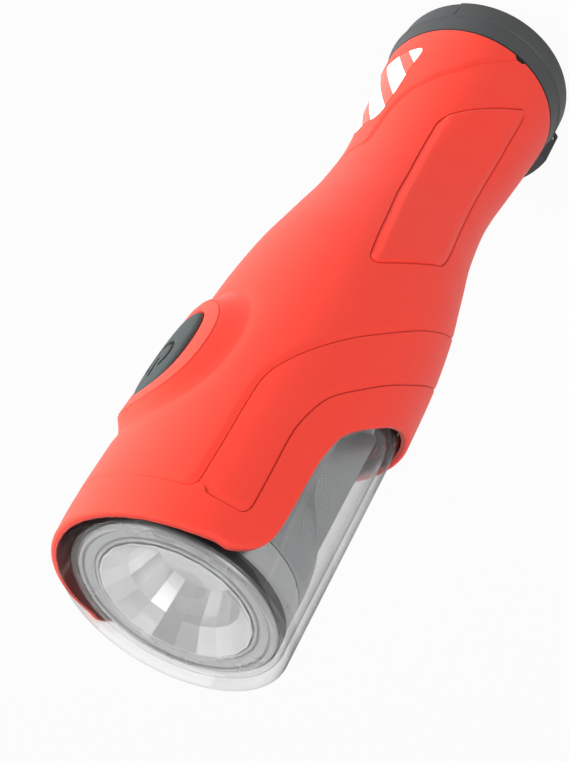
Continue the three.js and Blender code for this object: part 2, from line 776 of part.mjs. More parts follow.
// Silver lamp housing: a flared bowl on a flat-sided box that holds the area light
function lampHousing() {
  const front = bezelRear - fitGap;
  const boxOutline = (grow) => [
    [boxTop, boxRear + boxSlope - grow], [boxSeam + grow, boxRear + boxSlope - grow], [boxSeam + boxSlope * 0.6 + grow, boxRear + boxSlope * 0.16 - grow],
    [boxFloor - boxSlope * 0.1 + grow, boxRear - grow], [boxFloor + grow, boxRear + boxSlope * 0.1 - grow], [boxFloor + grow, boxFront], [boxTop, boxFront],
  ];
  const bowl = revolve(housingProfile(0, housingRear, front), bowlSteps);
  const box = crossPrism(boxOutline(0), boxHalfWidth);
  const bowlInside = revolve(housingProfile(housingWall, housingRear - overrun, front + overrun), bowlSteps);
  const boxInside = crossPrism(boxOutline(-housingWall), boxHalfWidth - housingWall);
  const boxMouth = block(housingWall - boxHalfWidth, boxHalfWidth - housingWall, boxTop, boxFloor - housingWall,
    partitionZ + partitionThickness, boxFront - housingWall);
  const partition = rod(housingRadius, partitionZ, partitionZ + partitionThickness, 0, 0, bowlSteps);
  const partitionHoleTool = rod(partitionHole, partitionZ - overrun, partitionZ + partitionThickness + overrun);
  const bosses = [-lampBossX, lampBossX].map((x) => rod(lampBossRadius, housingRear, housingRear + lampBossLength, x, -lampBossY));
  const pilots = [-lampBossX, lampBossX].map((x) => (
    rod(screwRadius + runningGap, housingRear - overrun, housingRear + lampBossLength - housingWall, x, -lampBossY, screwSteps)));
  const rest = block(-boardRestHalfWidth, boardRestHalfWidth, boardThickness - boardFace + fitGap, housingWall - housingRadius,
    boardRestZ, boardRestZ + boardRestLength);
  const outside = joined(bowl, box);
  const ledges = [-1, 1].map((side) => {
    const wall = side * bezelOuter;
    const tip = side * (boxHalfWidth - housingWall - ledgeDepth - areaBoardInset);
    const top = areaBoardFace - areaBoardThickness - fitGap;
    const bar = block(Math.min(wall, tip), Math.max(wall, tip), top - ledgeThickness, top, diffuserZ, diffuserZ + diffuserLength / 2);
    return bar.intersect(outside);
  });
  const slot = block(-wireSlotHalfWidth, wireSlotHalfWidth, -housingRadius - overrun, boxTop - housingRadius / 2, wireSlotZ, wireSlotZ + wireSlotLength);
  const hollow = cutBy(outside, bowlInside, boxInside, boxMouth);
  const windowLow = diffuserZ + diffuserLedge;
  const windowHigh = diffuserZ + diffuserLength - diffuserLedge;
  const windowHalf = diffuserHalfWidth - diffuserLedge;
  const seatFloor = boxFloor + diffuserProud - diffuserThickness - fitGap;
  return cutBy(
    joined(hollow, partition, ...bosses, rest, ...ledges),
    partitionHoleTool,
    ...pilots,
    slot,
    block(-windowHalf, windowHalf, areaBoardFace, boxFloor + overrun, windowLow, windowHigh),
    block(-diffuserHalfWidth - fitGap, diffuserHalfWidth + fitGap, seatFloor, boxFloor + overrun,
      diffuserZ - fitGap, diffuserZ + diffuserLength + fitGap),
  );
}

function diffuser() {
  const high = boxFloor + diffuserProud;
  return block(-diffuserHalfWidth, diffuserHalfWidth, high - diffuserThickness, high, diffuserZ, diffuserZ + diffuserLength);
}

// Crank arm outline: straight root, flare, and a tip on the rim's own curve
function armShape(grow) {
  const tip = armTipHalfAngle * degrees;
  const tipX = armTipRadius * Math.sin(tip) + grow;
  const tipY = -armTipRadius * Math.cos(tip);
  const root = armRootHalfWidth + grow;
  const neck = hingeOffset - armRootStraight;
  const shape = new THREE.Shape();
  shape.moveTo(root, hingeOffset);
  shape.lineTo(-root, hingeOffset);
  shape.lineTo(-root, neck);
  shape.bezierCurveTo(-root, neck - armTipRadius * 0.6, -tipX, neck - armTipRadius * 0.8, -tipX, tipY);
  shape.absarc(0, 0, Math.hypot(tipX, tipY), Math.atan2(tipY, -tipX), Math.atan2(tipY, tipX), false);
  shape.bezierCurveTo(tipX, neck - armTipRadius * 0.8, root, neck - armTipRadius * 0.6, root, neck);
  shape.lineTo(root, hingeOffset);
  return shape;
}

// A ring sector about -Y
function rimSector(inner, outer, halfAngle, low, high) {
  const start = (-90 - halfAngle) * degrees;
  const end = (-90 + halfAngle) * degrees;
  const shape = new THREE.Shape();
  shape.absarc(0, 0, outer, start, end, false);
  shape.absarc(0, 0, inner, end, start, true);
  shape.closePath();
  return prism(shape, low, high, 10);
}

function crankCap() {
  const body = revolve([
    [0, 0], [capRadius - capChamfer, 0], [capRadius, capChamfer], [capRadius, capBandHeight],
    [capRadius - capStep, capBandHeight + capStep], [capShoulderRadius, capHeight - capStep * 2],
    [capShoulderRadius - capStep * 2, capHeight], [0, capHeight],
  ]);
  const gapAngle = fitGap / (armTipRadius * degrees);
  const lipFloor = armThickness + lipDrop + fitGap;
  const pocketRound = rod(capShoulderRadius - capWall, capWall, capHeight + overrun, 0, 0, roundSteps);
  const pockets = [-1, 1].map((side) => {
    const near = side * capPocketStart;
    const far = side * capRadius;
    const field = block(Math.min(near, far), Math.max(near, far), -capPocketReach / 2, capPocketReach, capWall, capHeight + overrun);
    const rib = block(-capRadius, capRadius, capPocketReach / 4 - capRib / 2, capPocketReach / 4 + capRib / 2, 0, capHeight + overrun);
    return field.intersect(pocketRound).subtract(rib);
  });
  const keyHalf = hingeBlockHalfWidth + hingeKeyWidth + fitGap;
  const blockFace = capShoulderRadius - hingeBlockDepth + hingeBlockInset;
  return cutBy(
    body,
    prism(armShape(fitGap), -overrun, armRecessDepth),
    rimSector(armTipRadius - lipThickness - fitGap, capRadius + overrun, armTipHalfAngle + gapAngle, -overrun, lipFloor),
    rod(knobRadius + knobSwing, -overrun, knobTop + fitGap * 2, 0, -knobOffset, 28),
    rod(shaftScrewHead + fitGap, -overrun, screwPocketDepth),
    rod(shaftScrewRadius + runningGap, 0, capHeight, 0, 0, screwSteps),
    rod(shaftRadius + runningGap, shaftZ - fitGap, capHeight + overrun, 0, 0, 6),
    ...pockets,
    block(-hingeBlockHalfWidth - fitGap, hingeBlockHalfWidth + fitGap, blockFace - fitGap, capRadius * 2, -overrun, capHeight + overrun),
    block(-keyHalf, keyHalf, blockFace - fitGap, blockFace + hingeKeyDepth + fitGap, hingeKeyHeight - fitGap, capHeight + overrun),
  );
}

function hingeBlock() {
  const blockFace = capShoulderRadius - hingeBlockDepth + hingeBlockInset;
  const top = capHeight - hingeBlockInset;
  const knuckle = hingeHeight;
  const stock = block(-hingeBlockHalfWidth, hingeBlockHalfWidth, blockFace, capRadius * 2, 0, top)
    .intersect(rod(hingeBlockRadius, -overrun, capHeight, 0, 0, 64));
  const halfKey = hingeBlockHalfWidth + hingeKeyWidth;
  const key = block(-halfKey, halfKey, blockFace, blockFace + hingeKeyDepth, hingeKeyHeight, top);
  const corner = block(-capRadius, capRadius, hingeOffset, capRadius * 2, -overrun, hingeHeight)
    .subtract(crossRod(knuckle, capRadius, hingeOffset, hingeHeight, 24));
  const slotFloor = hingeHeight * 2 + fitGap;
  const slot = block(-armRootHalfWidth - fitGap, armRootHalfWidth + fitGap, 0, capRadius * 2, -overrun, slotFloor);
  const hole = crossRod(hingePinRadius + runningGap, capRadius, hingeOffset, hingeHeight);
  return cutBy(joined(stock, key), corner, slot, hole);
}

function crankArm() {
  const plate = prism(armShape(0), 0, armThickness);
  const lip = rimSector(armTipRadius - lipThickness, armTipRadius, armTipHalfAngle, armThickness / 2, armThickness + lipDrop);
  const barrel = crossRod(hingeHeight, armRootHalfWidth, hingeOffset, hingeHeight, 24);
  const pocket = block(-armPocketHalfWidth, armPocketHalfWidth, armPocketOffset - armPocketHalfLength,
    armPocketOffset + armPocketHalfLength, armPocketDepth, armThickness + overrun);
  const rootCorner = block(-capRadius, capRadius, hingeOffset, capRadius * 2, -overrun, armThickness + overrun)
    .subtract(crossRod(hingeHeight, capRadius, hingeOffset, hingeHeight, 24));
  return cutBy(
    joined(plate, lip, barrel),
    rootCorner,
    pocket,
    crossRod(hingePinRadius + runningGap, capRadius, hingeOffset, hingeHeight),
    rod(rivetRadius + runningGap, -overrun, armThickness + overrun, 0, -knobOffset),
    rod(rivetHeadRadius + runningGap, -overrun, rivetHeadHeight + fitGap * 2, 0, -knobOffset),
  );
}

function crankKnob() {
  const bore = rivetRadius + runningGap;
  return revolve([
    [bore, 0], [knobRadius - knobChamfer, 0], [knobRadius, knobChamfer], [knobRadius - knobChamfer / 2, knobHeight / 2],
    [knobRadius, knobHeight - knobChamfer], [knobRadius - knobChamfer, knobHeight],
    [rivetHeadRadius + runningGap * 2, knobHeight], [rivetHeadRadius + runningGap * 2, knobHeight - knobRecess], [bore, knobHeight - knobRecess],
  ], 24);
}

// Shoulder rivet: its wide head sits in the arm's rear face, its peened end in the knob's recess
function knobRivet() {
  const start = fitGap;
  const peen = knobTop - knobRecess + runningGap;
  return revolve([
    [0, start], [rivetHeadRadius, start], [rivetHeadRadius, start + rivetHeadHeight], [rivetRadius, start + rivetHeadHeight],
    [rivetRadius, peen], [rivetHeadRadius - fitGap, peen], [rivetHeadRadius - fitGap, peen + rivetHeadHeight], [0, peen + rivetHeadHeight],
  ], smallSteps);
}

// Hexagonal shaft, round where it runs in the bearing
function crankShaft() {
  const hex = rod(shaftRadius, shaftZ, crankGearTop, 0, 0, 6);
  const journal = rod(shaftRadius, capHeight + fitGap / 2, bearingTop + fitGap / 2, 0, 0, 20);
  const hole = rod(shaftScrewRadius + runningGap, shaftZ - overrun, shaftZ + shaftScrewLength, 0, 0, screwSteps);
  return cutBy(joined(hex, journal), hole);
}

function shaftScrew() {
  const head = armRecessDepth + fitGap / 2;
  const seat = head + shaftScrewHeadHeight;
  return revolve([
    [0, head], [shaftScrewHead, head], [shaftScrewHead, seat], [shaftScrewRadius, seat],
    [shaftScrewRadius, seat + shaftScrewLength], [0, seat + shaftScrewLength],
  ], screwSteps);
}

function tailBearing() {
  const bore = shaftRadius + runningGap;
  const outer = bore + bearingWall;
  const flangeLow = tailPlateZ - bearingFlange - fitGap / 3;
  return revolve([
    [bore, flangeLow], [bearingFlangeRadius, flangeLow], [bearingFlangeRadius, flangeLow + bearingFlange],
    [outer, flangeLow + bearingFlange], [outer, bearingTop], [bore, bearingTop],
  ], 24);
}

// Places of the three gear axes, from the crank's own axis
const crankPitch = (gearModule * crankTeeth) / 2;
const pinionPitch = (gearModule * pinionTeeth) / 2;
const idlerPitch = (gearModule * idlerTeeth) / 2;
const wheelPitch = (gearModule * wheelTeeth) / 2;
const rotorPitch = (gearModule * rotorTeeth) / 2;
const idlerDistance = crankPitch + pinionPitch + centreSlack;
const idlerToWheel = idlerPitch + pinionPitch + centreSlack;
const wheelToRotor = wheelPitch + rotorPitch + centreSlack;
const idlerAxis = new THREE.Vector2(idlerDistance, 0);
const wheelCosine = (idlerDistance ** 2 + wheelAxisDistance ** 2 - idlerToWheel ** 2) / (2 * idlerDistance * wheelAxisDistance);
const wheelAngle = Math.acos(wheelCosine);
const wheelAxis = new THREE.Vector2(Math.cos(wheelAngle), Math.sin(wheelAngle)).multiplyScalar(wheelAxisDistance);
const rotorCosine = (rotorAxisDistance ** 2 + wheelAxisDistance ** 2 - wheelToRotor ** 2) / (2 * rotorAxisDistance * wheelAxisDistance);
const rotorAngle = wheelAngle + Math.acos(Math.max(rotorCosine, -1));
const rotorAxis = new THREE.Vector2(Math.cos(rotorAngle), Math.sin(rotorAngle)).multiplyScalar(rotorAxisDistance);

// Turn of a driven gear whose gap meets the driver's tooth on the line between their axes
function meshTurn(driver, driverTurn, driverTeeth, driven, drivenTeeth) {
  const line = Math.atan2(driven.y - driver.y, driven.x - driver.x);
  return line + Math.PI + (Math.PI - driverTeeth * (driverTurn - line)) / drivenTeeth;
}

const origin = new THREE.Vector2(0, 0);
const idlerTurn = meshTurn(origin, 0, crankTeeth, idlerAxis, pinionTeeth);
const wheelTurn = meshTurn(idlerAxis, idlerTurn, idlerTeeth, wheelAxis, pinionTeeth);
const rotorTurn = meshTurn(wheelAxis, wheelTurn, wheelTeeth, rotorAxis, rotorTeeth);

// A spur gear outline; the small pinions get a bent flank, the wheels a straight one
function gearShape(teeth, boreRadius, boreSides) {
  const pitch = (gearModule * teeth) / 2;
  const base = pitch * Math.cos(pressureAngle * degrees);
  const root = pitch - gearModule * 1.2;
  const tip = pitch + gearModule * 0.9;
  const involute = (radius) => {
    const angle = Math.acos(Math.min(1, base / radius));
    return Math.tan(angle) - angle;
  };
  const pitchHalf = Math.PI / (2 * teeth) - backlash / (4 * pitch);
  const halfAt = (radius) => pitchHalf + involute(pitch) - involute(Math.max(radius, base));
  const rootHalf = root < base ? halfAt(base) * 0.82 : halfAt(root);
  const points = [];
  for (let i = 0; i < teeth; i += 1) {
    const centre = (i / teeth) * 2 * Math.PI;
    const flank = teeth < idlerTeeth
      ? [[root, rootHalf], [pitch, pitchHalf], [tip, halfAt(tip)]]
      : [[root, rootHalf], [tip, halfAt(tip)]];
    const rising = flank.map(([radius, half]) => [radius, centre - half]);
    const falling = flank.map(([radius, half]) => [radius, centre + half]).reverse();
    for (const [radius, angle] of [...rising, ...falling]) {
      points.push(new THREE.Vector2(radius * Math.cos(angle), radius * Math.sin(angle)));
    }
  }
  const shape = new THREE.Shape(points);
  if (boreRadius > 0) {
    const bore = [];
    for (let i = 0; i < boreSides; i += 1) {
      const angle = -(i / boreSides) * 2 * Math.PI;
      bore.push(new THREE.Vector2(boreRadius * Math.cos(angle), boreRadius * Math.sin(angle)));
    }
    shape.holes.push(new THREE.Path(bore));
  }
  return shape;
}

// Gears are drawn about their own axis with their lower face at zero
function crankGear() {
  return cutBy(prism(gearShape(crankTeeth, 0, 0), 0, crankGearWidth), rod(shaftRadius + runningGap, -overrun, crankGearWidth + overrun, 0, 0, 6));
}

function compoundGear(wheelTeethCount, wheelFaceWidth, pinionLength) {
  const bore = gearPinRadius + runningGap;
  const pinion = prism(gearShape(pinionTeeth, bore, smallSteps), 0, pinionLength + wheelFaceWidth / 2);
  const wheel = prism(gearShape(wheelTeethCount, bore, smallSteps), pinionLength, pinionLength + wheelFaceWidth);
  return joined(pinion, wheel);
}

function rotorShaft() {
  const pinion = prism(gearShape(rotorTeeth, 0, 0), 0, wheelWidth + gearGap);
  const shaft = rod(rotorShaftRadius, 0, canTop - wheelZ - fitGap);
  return joined(pinion, shaft);
}

function postHoles(low, high) {
  return postAngles.map((angle) => {
    const [x, y] = polar(angle, postCircle);
    return rod(screwRadius + screwClearance, low, high, x, y, screwSteps);
  });
}

// A cone-headed hole at the rear face of the tail plate
function countersink(angle, circle) {
  const [x, y] = polar(angle, circle);
  const sink = screwHeadRadius + fitGap;
  const cone = revolve([[0, -fitGap], [sink + fitGap, -fitGap], [screwRadius + screwClearance, sink - screwRadius], [0, sink - screwRadius]], screwSteps);
  return cone.translate([x, y, tailPlateZ]);
}

function tailPlate() {
  const disc = rod(tailPlateRadius, tailPlateZ, tailPlateTop, 0, 0, roundSteps);
  const boss = rod(bearingBossRadius, tailPlateZ, bearingTop, 0, 0, 24);
  const pinBoss = rod(pinBossRadius, tailPlateZ, tailPlateTop + bearingBossHeight, idlerAxis.x, idlerAxis.y);
  const posts = postAngles.map((angle) => {
    const [x, y] = polar(angle, postCircle);
    return rod(postRadius, tailPlateZ, gearboxPlateZ - fitGap, x, y);
  });
  const tailHoles = tailBossAngles.map((angle) => {
    const [x, y] = polar(angle, tailBossCircle);
    return rod(screwRadius + screwClearance, tailPlateZ - overrun, tailPlateTop + overrun, x, y, screwSteps);
  });
  return cutBy(
    joined(disc, boss, pinBoss, ...posts),
    rod(shaftRadius + runningGap * 2 + bearingWall, tailPlateZ - overrun, bearingTop + overrun, 0, 0, 24),
    rod(gearPinRadius + runningGap, tailPlateZ + fitGap, tailPlateTop + overrun, idlerAxis.x, idlerAxis.y),
    ...tailHoles,
    ...postHoles(tailPlateZ - overrun, gearboxPlateZ + overrun),
    ...postAngles.map((angle) => countersink(angle, postCircle)),
    ...tailBossAngles.map((angle) => countersink(angle, tailBossCircle)),
  );
}

function gearboxPlate() {
  const disc = rod(gearboxPlateRadius, gearboxPlateZ, gearboxPlateTop, 0, 0, roundSteps);
  const boss = rod(pinBossRadius, gearboxPlateZ - plateBossHeight, gearboxPlateTop, wheelAxis.x, wheelAxis.y);
  return cutBy(
    joined(disc, boss),
    rod(gearPinRadius + runningGap, gearboxPlateZ - overrun, gearboxPlateTop - fitGap, wheelAxis.x, wheelAxis.y),
    rod(rotorShaftRadius + runningGap, gearboxPlateZ - overrun, gearboxPlateTop + overrun, rotorAxis.x, rotorAxis.y),
    ...postHoles(gearboxPlateZ - overrun, gearboxPlateTop + overrun),
  );
}

function generatorCan() {
  const bore = rotorShaftRadius + runningGap;
  const inside = canRadius - canWall;
  return revolve([
    [canRadius, 0], [canRadius, canLength], [bore, canLength], [bore, canLength - canWall],
    [inside, canLength - canWall], [inside, 0],
  ], 32);
}

function statorCoil() {
  const outer = canRadius - canWall - fitGap;
  const inner = outer - coilThickness;
  const high = canLength - canWall - coilInset;
  const round = coilThickness / 4;
  return revolve([
    [inner, coilInset + round], [inner + round, coilInset], [outer - round, coilInset], [outer, coilInset + round],
    [outer, high - round], [outer - round, high], [inner + round, high], [inner, high - round],
  ], 28);
}

function rotorMagnet() {
  const bore = rotorShaftRadius + runningGap / 2;
  return revolve([[bore, 0], [magnetRadius, 0], [magnetRadius, canLength - magnetInset * 2], [bore, canLength - magnetInset * 2]], 24);
}

// Chassis: legs, rear bulkhead, battery tray, rails, board bridge and front bulkhead
function chassis() {
  const legs = postAngles.map((angle) => {
    const [x, y] = polar(angle, postCircle);
    return rod(postRadius, gearboxPlateTop + fitGap, rearBulkheadTop, x, y);
  });
  const rearBulkhead = rod(chassisRadius, rearBulkheadZ, rearBulkheadTop, 0, 0, 36);
  const wireNotch = block(-wireNotchHalfWidth, wireNotchHalfWidth, -headRadius, -wireNotchDepth, 0, trayTop + overrun);
  const trayOuter = trayInnerRadius + trayWall;
  const trayRing = revolve([
    [trayInnerRadius, rearBulkheadZ], [trayOuter, rearBulkheadZ], [trayOuter, trayTop], [trayInnerRadius, trayTop]], 36);
  const trayEnd = rod(trayOuter, trayWallZ, trayTop, 0, 0, 36);
  const trayOpen = block(-headRadius, headRadius, -headRadius, -trayLip, rearBulkheadTop, trayTop + overrun);
  const tray = cutBy(joined(trayRing, trayEnd), trayOpen);
  const rails = [-1, 1].map((side) => (
    block(Math.min(side * railInner, side * railOuter), Math.max(side * railInner, side * railOuter), railLow, railHigh,
      trayWallZ, frontBulkheadZ + bulkheadThickness)));
  const front = rod(frontBulkheadRadius, frontBulkheadZ, frontBulkheadZ + bulkheadThickness, 0, 0, 36);
  const bridge = block(-railOuter, railOuter, railLow, railLow + bridgeThickness, bridgeZ, bridgeEnd);
  const postTop = boardThickness - boardFace + fitGap;
  const boardPosts = boardPostZs.map((z, i) => peg(boardPostRadius, postTop, railLow + bridgeThickness / 2, (i * 2 - 1) * boardPostOffset, z));
  const pilots = boardPostZs.map((z, i) => (
    peg(screwRadius + runningGap, postTop - overrun, postTop + boardScrewLength, (i * 2 - 1) * boardPostOffset, z, screwSteps)));
  const legPilots = postAngles.map((angle) => {
    const [x, y] = polar(angle, postCircle);
    return rod(screwRadius + runningGap, gearboxPlateTop, tailPlateZ + gearboxScrewLength + overrun, x, y, screwSteps);
  });
  const lampHoles = [-lampBossX, lampBossX].map((x) => (
    rod(screwRadius + screwClearance, frontBulkheadZ - overrun, frontBulkheadZ + bulkheadThickness + overrun, x, -lampBossY, screwSteps)));
  const boardGap = block(-headRadius, headRadius, -headRadius, boardThickness - boardFace + fitGap * 3, frontBulkheadZ - overrun,
    frontBulkheadZ + bulkheadThickness + overrun);
  return cutBy(
    joined(...legs, rearBulkhead, tray, ...rails, front, bridge, ...boardPosts),
    wireNotch,
    ...pilots,
    ...legPilots,
    ...lampHoles,
    boardGap,
  );
}

function batteryCell() {
  return revolve([
    [0, 0], [cellRadius, 0], [cellRadius, cellLength], [cellTipRadius, cellLength],
    [cellTipRadius, cellLength + cellTipHeight], [0, cellLength + cellTipHeight],
  ], 24);
}

// A nickel strip that bridges the three cells: a rounded triangle
function batteryContact() {
  const shape = new THREE.Shape();
  const reach = contactRadius - cellTipRadius;
  for (let i = 0; i < 3; i += 1) {
    const middle = (90 + 120 * i) * degrees;
    const [cx, cy] = [reach * Math.cos(middle), reach * Math.sin(middle)];
    shape.absarc(cx, cy, cellTipRadius, middle - Math.PI / 3, middle + Math.PI / 3, false);
  }
  shape.closePath();
  return prism(shape, 0, contactThickness, 4);
}

function mainBoard() {
  const holes = boardPostZs.map((z, i) => (
    peg(screwRadius + screwClearance, -boardFace - overrun, boardThickness - boardFace + overrun, (i * 2 - 1) * boardPostOffset, z, screwSteps)));
  const plate = block(-boardHalfWidth, boardHalfWidth, -boardFace, boardThickness - boardFace, boardZ, boardFront);
  return cutBy(plate, ...holes);
}

function tactSwitch() {
  const high = -boardFace - fitGap / 3;
  const body = block(-switchSize / 2, switchSize / 2, high - switchHeight, high, buttonZ - switchSize / 2, buttonZ + switchSize / 2);
  return cutBy(body, peg(switchStemRadius + runningGap, high - switchHeight - overrun, high - switchHeight + switchBore, 0, buttonZ));
}

function powerButton() {
  const crown = revolve([
    [0, buttonZ - buttonHalfLength - overrun], [buttonEndRadius, buttonZ - buttonHalfLength - overrun],
    [buttonEndRadius, buttonZ - buttonHalfLength], [buttonCrown, buttonZ - buttonHalfLength / 2],
    [buttonCrown, buttonZ + buttonHalfLength / 2], [buttonEndRadius, buttonZ + buttonHalfLength],
    [buttonEndRadius, buttonZ + buttonHalfLength + overrun], [0, buttonZ + buttonHalfLength + overrun],
  ]);
  const pad = ovalPrism(buttonHalfWidth, buttonHalfLength, -buttonCrown - overrun, -buttonFlangeFace, buttonZ).intersect(crown);
  const flangeLow = -buttonFlangeFace;
  const flange = ovalPrism(buttonHalfWidth + buttonFlange, buttonHalfLength + buttonFlange, flangeLow, flangeLow + buttonFlangeThickness, buttonZ);
  const nub = peg(buttonNubRadius, flangeLow, flangeLow + buttonFlangeThickness + buttonNub, 0, buttonZ);
  return joined(pad, flange, nub);
}

// Screws are drawn about Z with the head's flat face at zero
function flatScrew(length) {
  return revolve([
    [0, 0], [screwHeadRadius, 0], [screwRadius, screwHeadRadius - screwRadius], [screwRadius, length], [0, length]], screwSteps);
}

function panScrew(length) {
  return revolve([
    [0, 0], [screwHeadRadius, 0], [screwHeadRadius, screwRadius], [screwRadius, screwRadius], [screwRadius, length], [0, length]], screwSteps);
}

function spotLed() {
  const base = block(-ledSize / 2, ledSize / 2, -ledSize / 2, ledSize / 2, 0, ledBaseHeight);
  const dome = toSolid(new THREE.SphereGeometry(ledDomeRadius, 16, 10).translate(0, 0, ledBaseHeight));
  return joined(base, dome);
}

function spotBoard() {
  const shape = new THREE.Shape();
  const notches = 6;
  for (let i = 0; i < notches; i += 1) {
    const start = (i / notches) * 2 * Math.PI;
    const width = ((2 * Math.PI) / notches) * 0.8;
    shape.absarc(0, 0, spotBoardRadius, start, start + width, false);
    const middle = start + width + ((2 * Math.PI) / notches) * 0.1;
    shape.lineTo((spotBoardRadius - spotBoardThickness) * Math.cos(middle), (spotBoardRadius - spotBoardThickness) * Math.sin(middle));
  }
  shape.closePath();
  return prism(shape, 0, spotBoardThickness, 5);
}

// The flashlight
const flashlight = new THREE.Group();
const fixed = new THREE.Group();
const crank = new THREE.Group();
const button = new THREE.Group();
flashlight.add(fixed, crank, button);

function addPart(group, name, solid, material, x = 0, y = 0, z = 0) {
  const mesh = new THREE.Mesh(toGeometry(solid), material);
  mesh.name = name;
  mesh.position.set(x, y, z);
  group.add(mesh);
  return mesh;
}

// Housing and head
addPart(fixed, 'grip_shell', gripShell(), redSkin);
addPart(fixed, 'stripe_label', stripeSheet(0, labelThickness, 0), labelWhite);
addPart(fixed, 'clear_head_cover', clearCover(), clearPlastic);
addPart(fixed, 'front_bezel', frontBezel(), bezelSilver);
addPart(fixed, 'reflector', reflectorBowl(), mirrorCoat);
addPart(fixed, 'lamp_housing', lampHousing(), silverPlastic);
addPart(fixed, 'spot_led_board', spotBoard(), whiteBoard, 0, 0, spotBoardZ);
addPart(fixed, 'spot_led', spotLed(), ledYellow, 0, 0, spotBoardZ + spotBoardThickness + fitGap / 3);
addPart(fixed, 'area_light_diffuser', diffuser(), diffuserWhite);
const areaHalf = boxHalfWidth - housingWall - areaBoardInset;
const areaLow = diffuserZ + areaBoardInset;
const areaLength = partitionZ - turningGap - areaLow;
addPart(fixed, 'area_led_board', block(-areaHalf, areaHalf, areaBoardFace - areaBoardThickness, areaBoardFace, areaLow, areaLow + areaLength), whiteBoard);
for (let i = 0; i < 3; i += 1) {
  const led = new THREE.BoxGeometry(areaLedWidth, areaLedHeight, areaLedLength);
  const z = areaLow + (areaLength * (i * 2 + 1)) / 6;
  addPart(fixed, `area_led_${i + 1}`, toSolid(led), ledYellow, 0, areaBoardFace + fitGap / 3 + areaLedHeight / 2, z);
}

// Board, battery and chassis
addPart(fixed, 'main_circuit_board', mainBoard(), greenBoard);
addPart(fixed, 'tact_switch', tactSwitch(), blackGloss);
const chip = new THREE.BoxGeometry(chipWidth, chipHeight, chipLength);
addPart(fixed, 'control_chip', toSolid(chip), blackGloss, 0, -boardFace - fitGap / 3 - chipHeight / 2, chipZ);
const capacitor = rod(capacitorRadius, 0, capacitorLength);
addPart(fixed, 'charge_capacitor', capacitor, blackGloss, capacitorX, boardThickness - boardFace + fitGap / 3 + capacitorRadius, boardZ + capacitorInset);
addPart(fixed, 'chassis', chassis(), greyPlastic);
for (let i = 0; i < 3; i += 1) {
  const [x, y] = polar(90 + 120 * i, cellSpacing);
  addPart(fixed, `battery_cell_${i + 1}`, batteryCell(), cellGreen, x, y, cellZ);
}
addPart(fixed, 'battery_contact_rear', batteryContact(), steel, 0, 0, rearContactZ);
addPart(fixed, 'battery_contact_front', batteryContact(), steel, 0, 0, frontContactZ);

// Gearbox and generator
addPart(fixed, 'tail_plate', tailPlate(), charcoal);
addPart(fixed, 'tail_bearing', tailBearing(), brass);
addPart(fixed, 'gearbox_plate', gearboxPlate(), charcoal);
addPart(fixed, 'idler_pin', rod(gearPinRadius, tailPlateZ + fitGap * 2, idlerTop), steel, idlerAxis.x, idlerAxis.y);
addPart(fixed, 'wheel_pin', rod(gearPinRadius, idlerZ + fitGap, gearboxPlateTop - fitGap * 2), steel, wheelAxis.x, wheelAxis.y);
addPart(fixed, 'generator_can', generatorCan(), steel, rotorAxis.x, rotorAxis.y, canZ);
addPart(fixed, 'stator_coil', statorCoil(), copper, rotorAxis.x, rotorAxis.y, canZ);

// Screws
postAngles.forEach((angle, i) => {
  const [x, y] = polar(angle, postCircle);
  addPart(fixed, `gearbox_screw_${i + 1}`, flatScrew(gearboxScrewLength), darkSteel, x, y, tailPlateZ + fitGap / 3);
});
tailBossAngles.forEach((angle, i) => {
  const [x, y] = polar(angle, tailBossCircle);
  addPart(fixed, `tail_screw_${i + 1}`, flatScrew(tailScrewLength), darkSteel, x, y, tailPlateZ + fitGap / 3);
});
boardPostZs.forEach((z, i) => {
  const screw = addPart(fixed, `board_screw_${i + 1}`, panScrew(boardScrewLength), darkSteel,
    (i * 2 - 1) * boardPostOffset, -boardFace - screwRadius - fitGap / 3, z);
  screw.rotation.x = -Math.PI / 2;
});
[-lampBossX, lampBossX].forEach((x, i) => {
  addPart(fixed, `lamp_screw_${i + 1}`, panScrew(lampScrewLength), darkSteel, x, -lampBossY, frontBulkheadZ - screwRadius - fitGap / 3);
});

// Leads, in the free space over the battery and under the board
const wireTop = trayInnerRadius + leadRadius / 2;
const boardRear = boardZ - fitGap;
const boardMiddle = boardThickness / 2 - boardFace;
const generatorStart = new THREE.Vector3(rotorAxis.x, rotorAxis.y - canRadius * 0.68, canTop + fitGap);
addPart(fixed, 'generator_lead', tube([
  generatorStart,
  new THREE.Vector3(rotorAxis.x, -wireTop, rearBulkheadTop + bulkheadThickness),
  new THREE.Vector3(rotorAxis.x, -wireTop, trayTop),
  new THREE.Vector3(rotorAxis.x, boardMiddle, boardRear - leadRise),
  new THREE.Vector3(rotorAxis.x, boardMiddle, boardRear),
], leadRadius, 16), leadBlack);
addPart(fixed, 'battery_lead', tube([
  new THREE.Vector3(boardPostOffset / 2, -wireNotchDepth, frontContactZ),
  new THREE.Vector3(boardPostOffset / 2, -wireTop, trayTop + bulkheadThickness),
  new THREE.Vector3(boardPostOffset / 2, boardMiddle, boardRear - leadRise),
  new THREE.Vector3(boardPostOffset / 2, boardMiddle, boardRear),
], leadRadius, 12), leadBlack);
const slotMiddle = wireSlotZ + wireSlotLength / 2;
addPart(fixed, 'spot_lead', tube([
  new THREE.Vector3(wireSlotHalfWidth / 2, boardThickness - boardFace + fitGap, slotMiddle),
  new THREE.Vector3(wireSlotHalfWidth / 2, -housingRadius * 0.8, slotMiddle),
  new THREE.Vector3(wireSlotHalfWidth / 2, -housingRadius * 0.3, slotMiddle + wireSlotLength / 2),
  new THREE.Vector3(wireSlotHalfWidth / 2, -wireSlotHalfWidth / 2, partitionZ),
  new THREE.Vector3(wireSlotHalfWidth / 2, -wireSlotHalfWidth / 2, spotBoardZ - fitGap),
], leadRadius, 14), leadBlack);
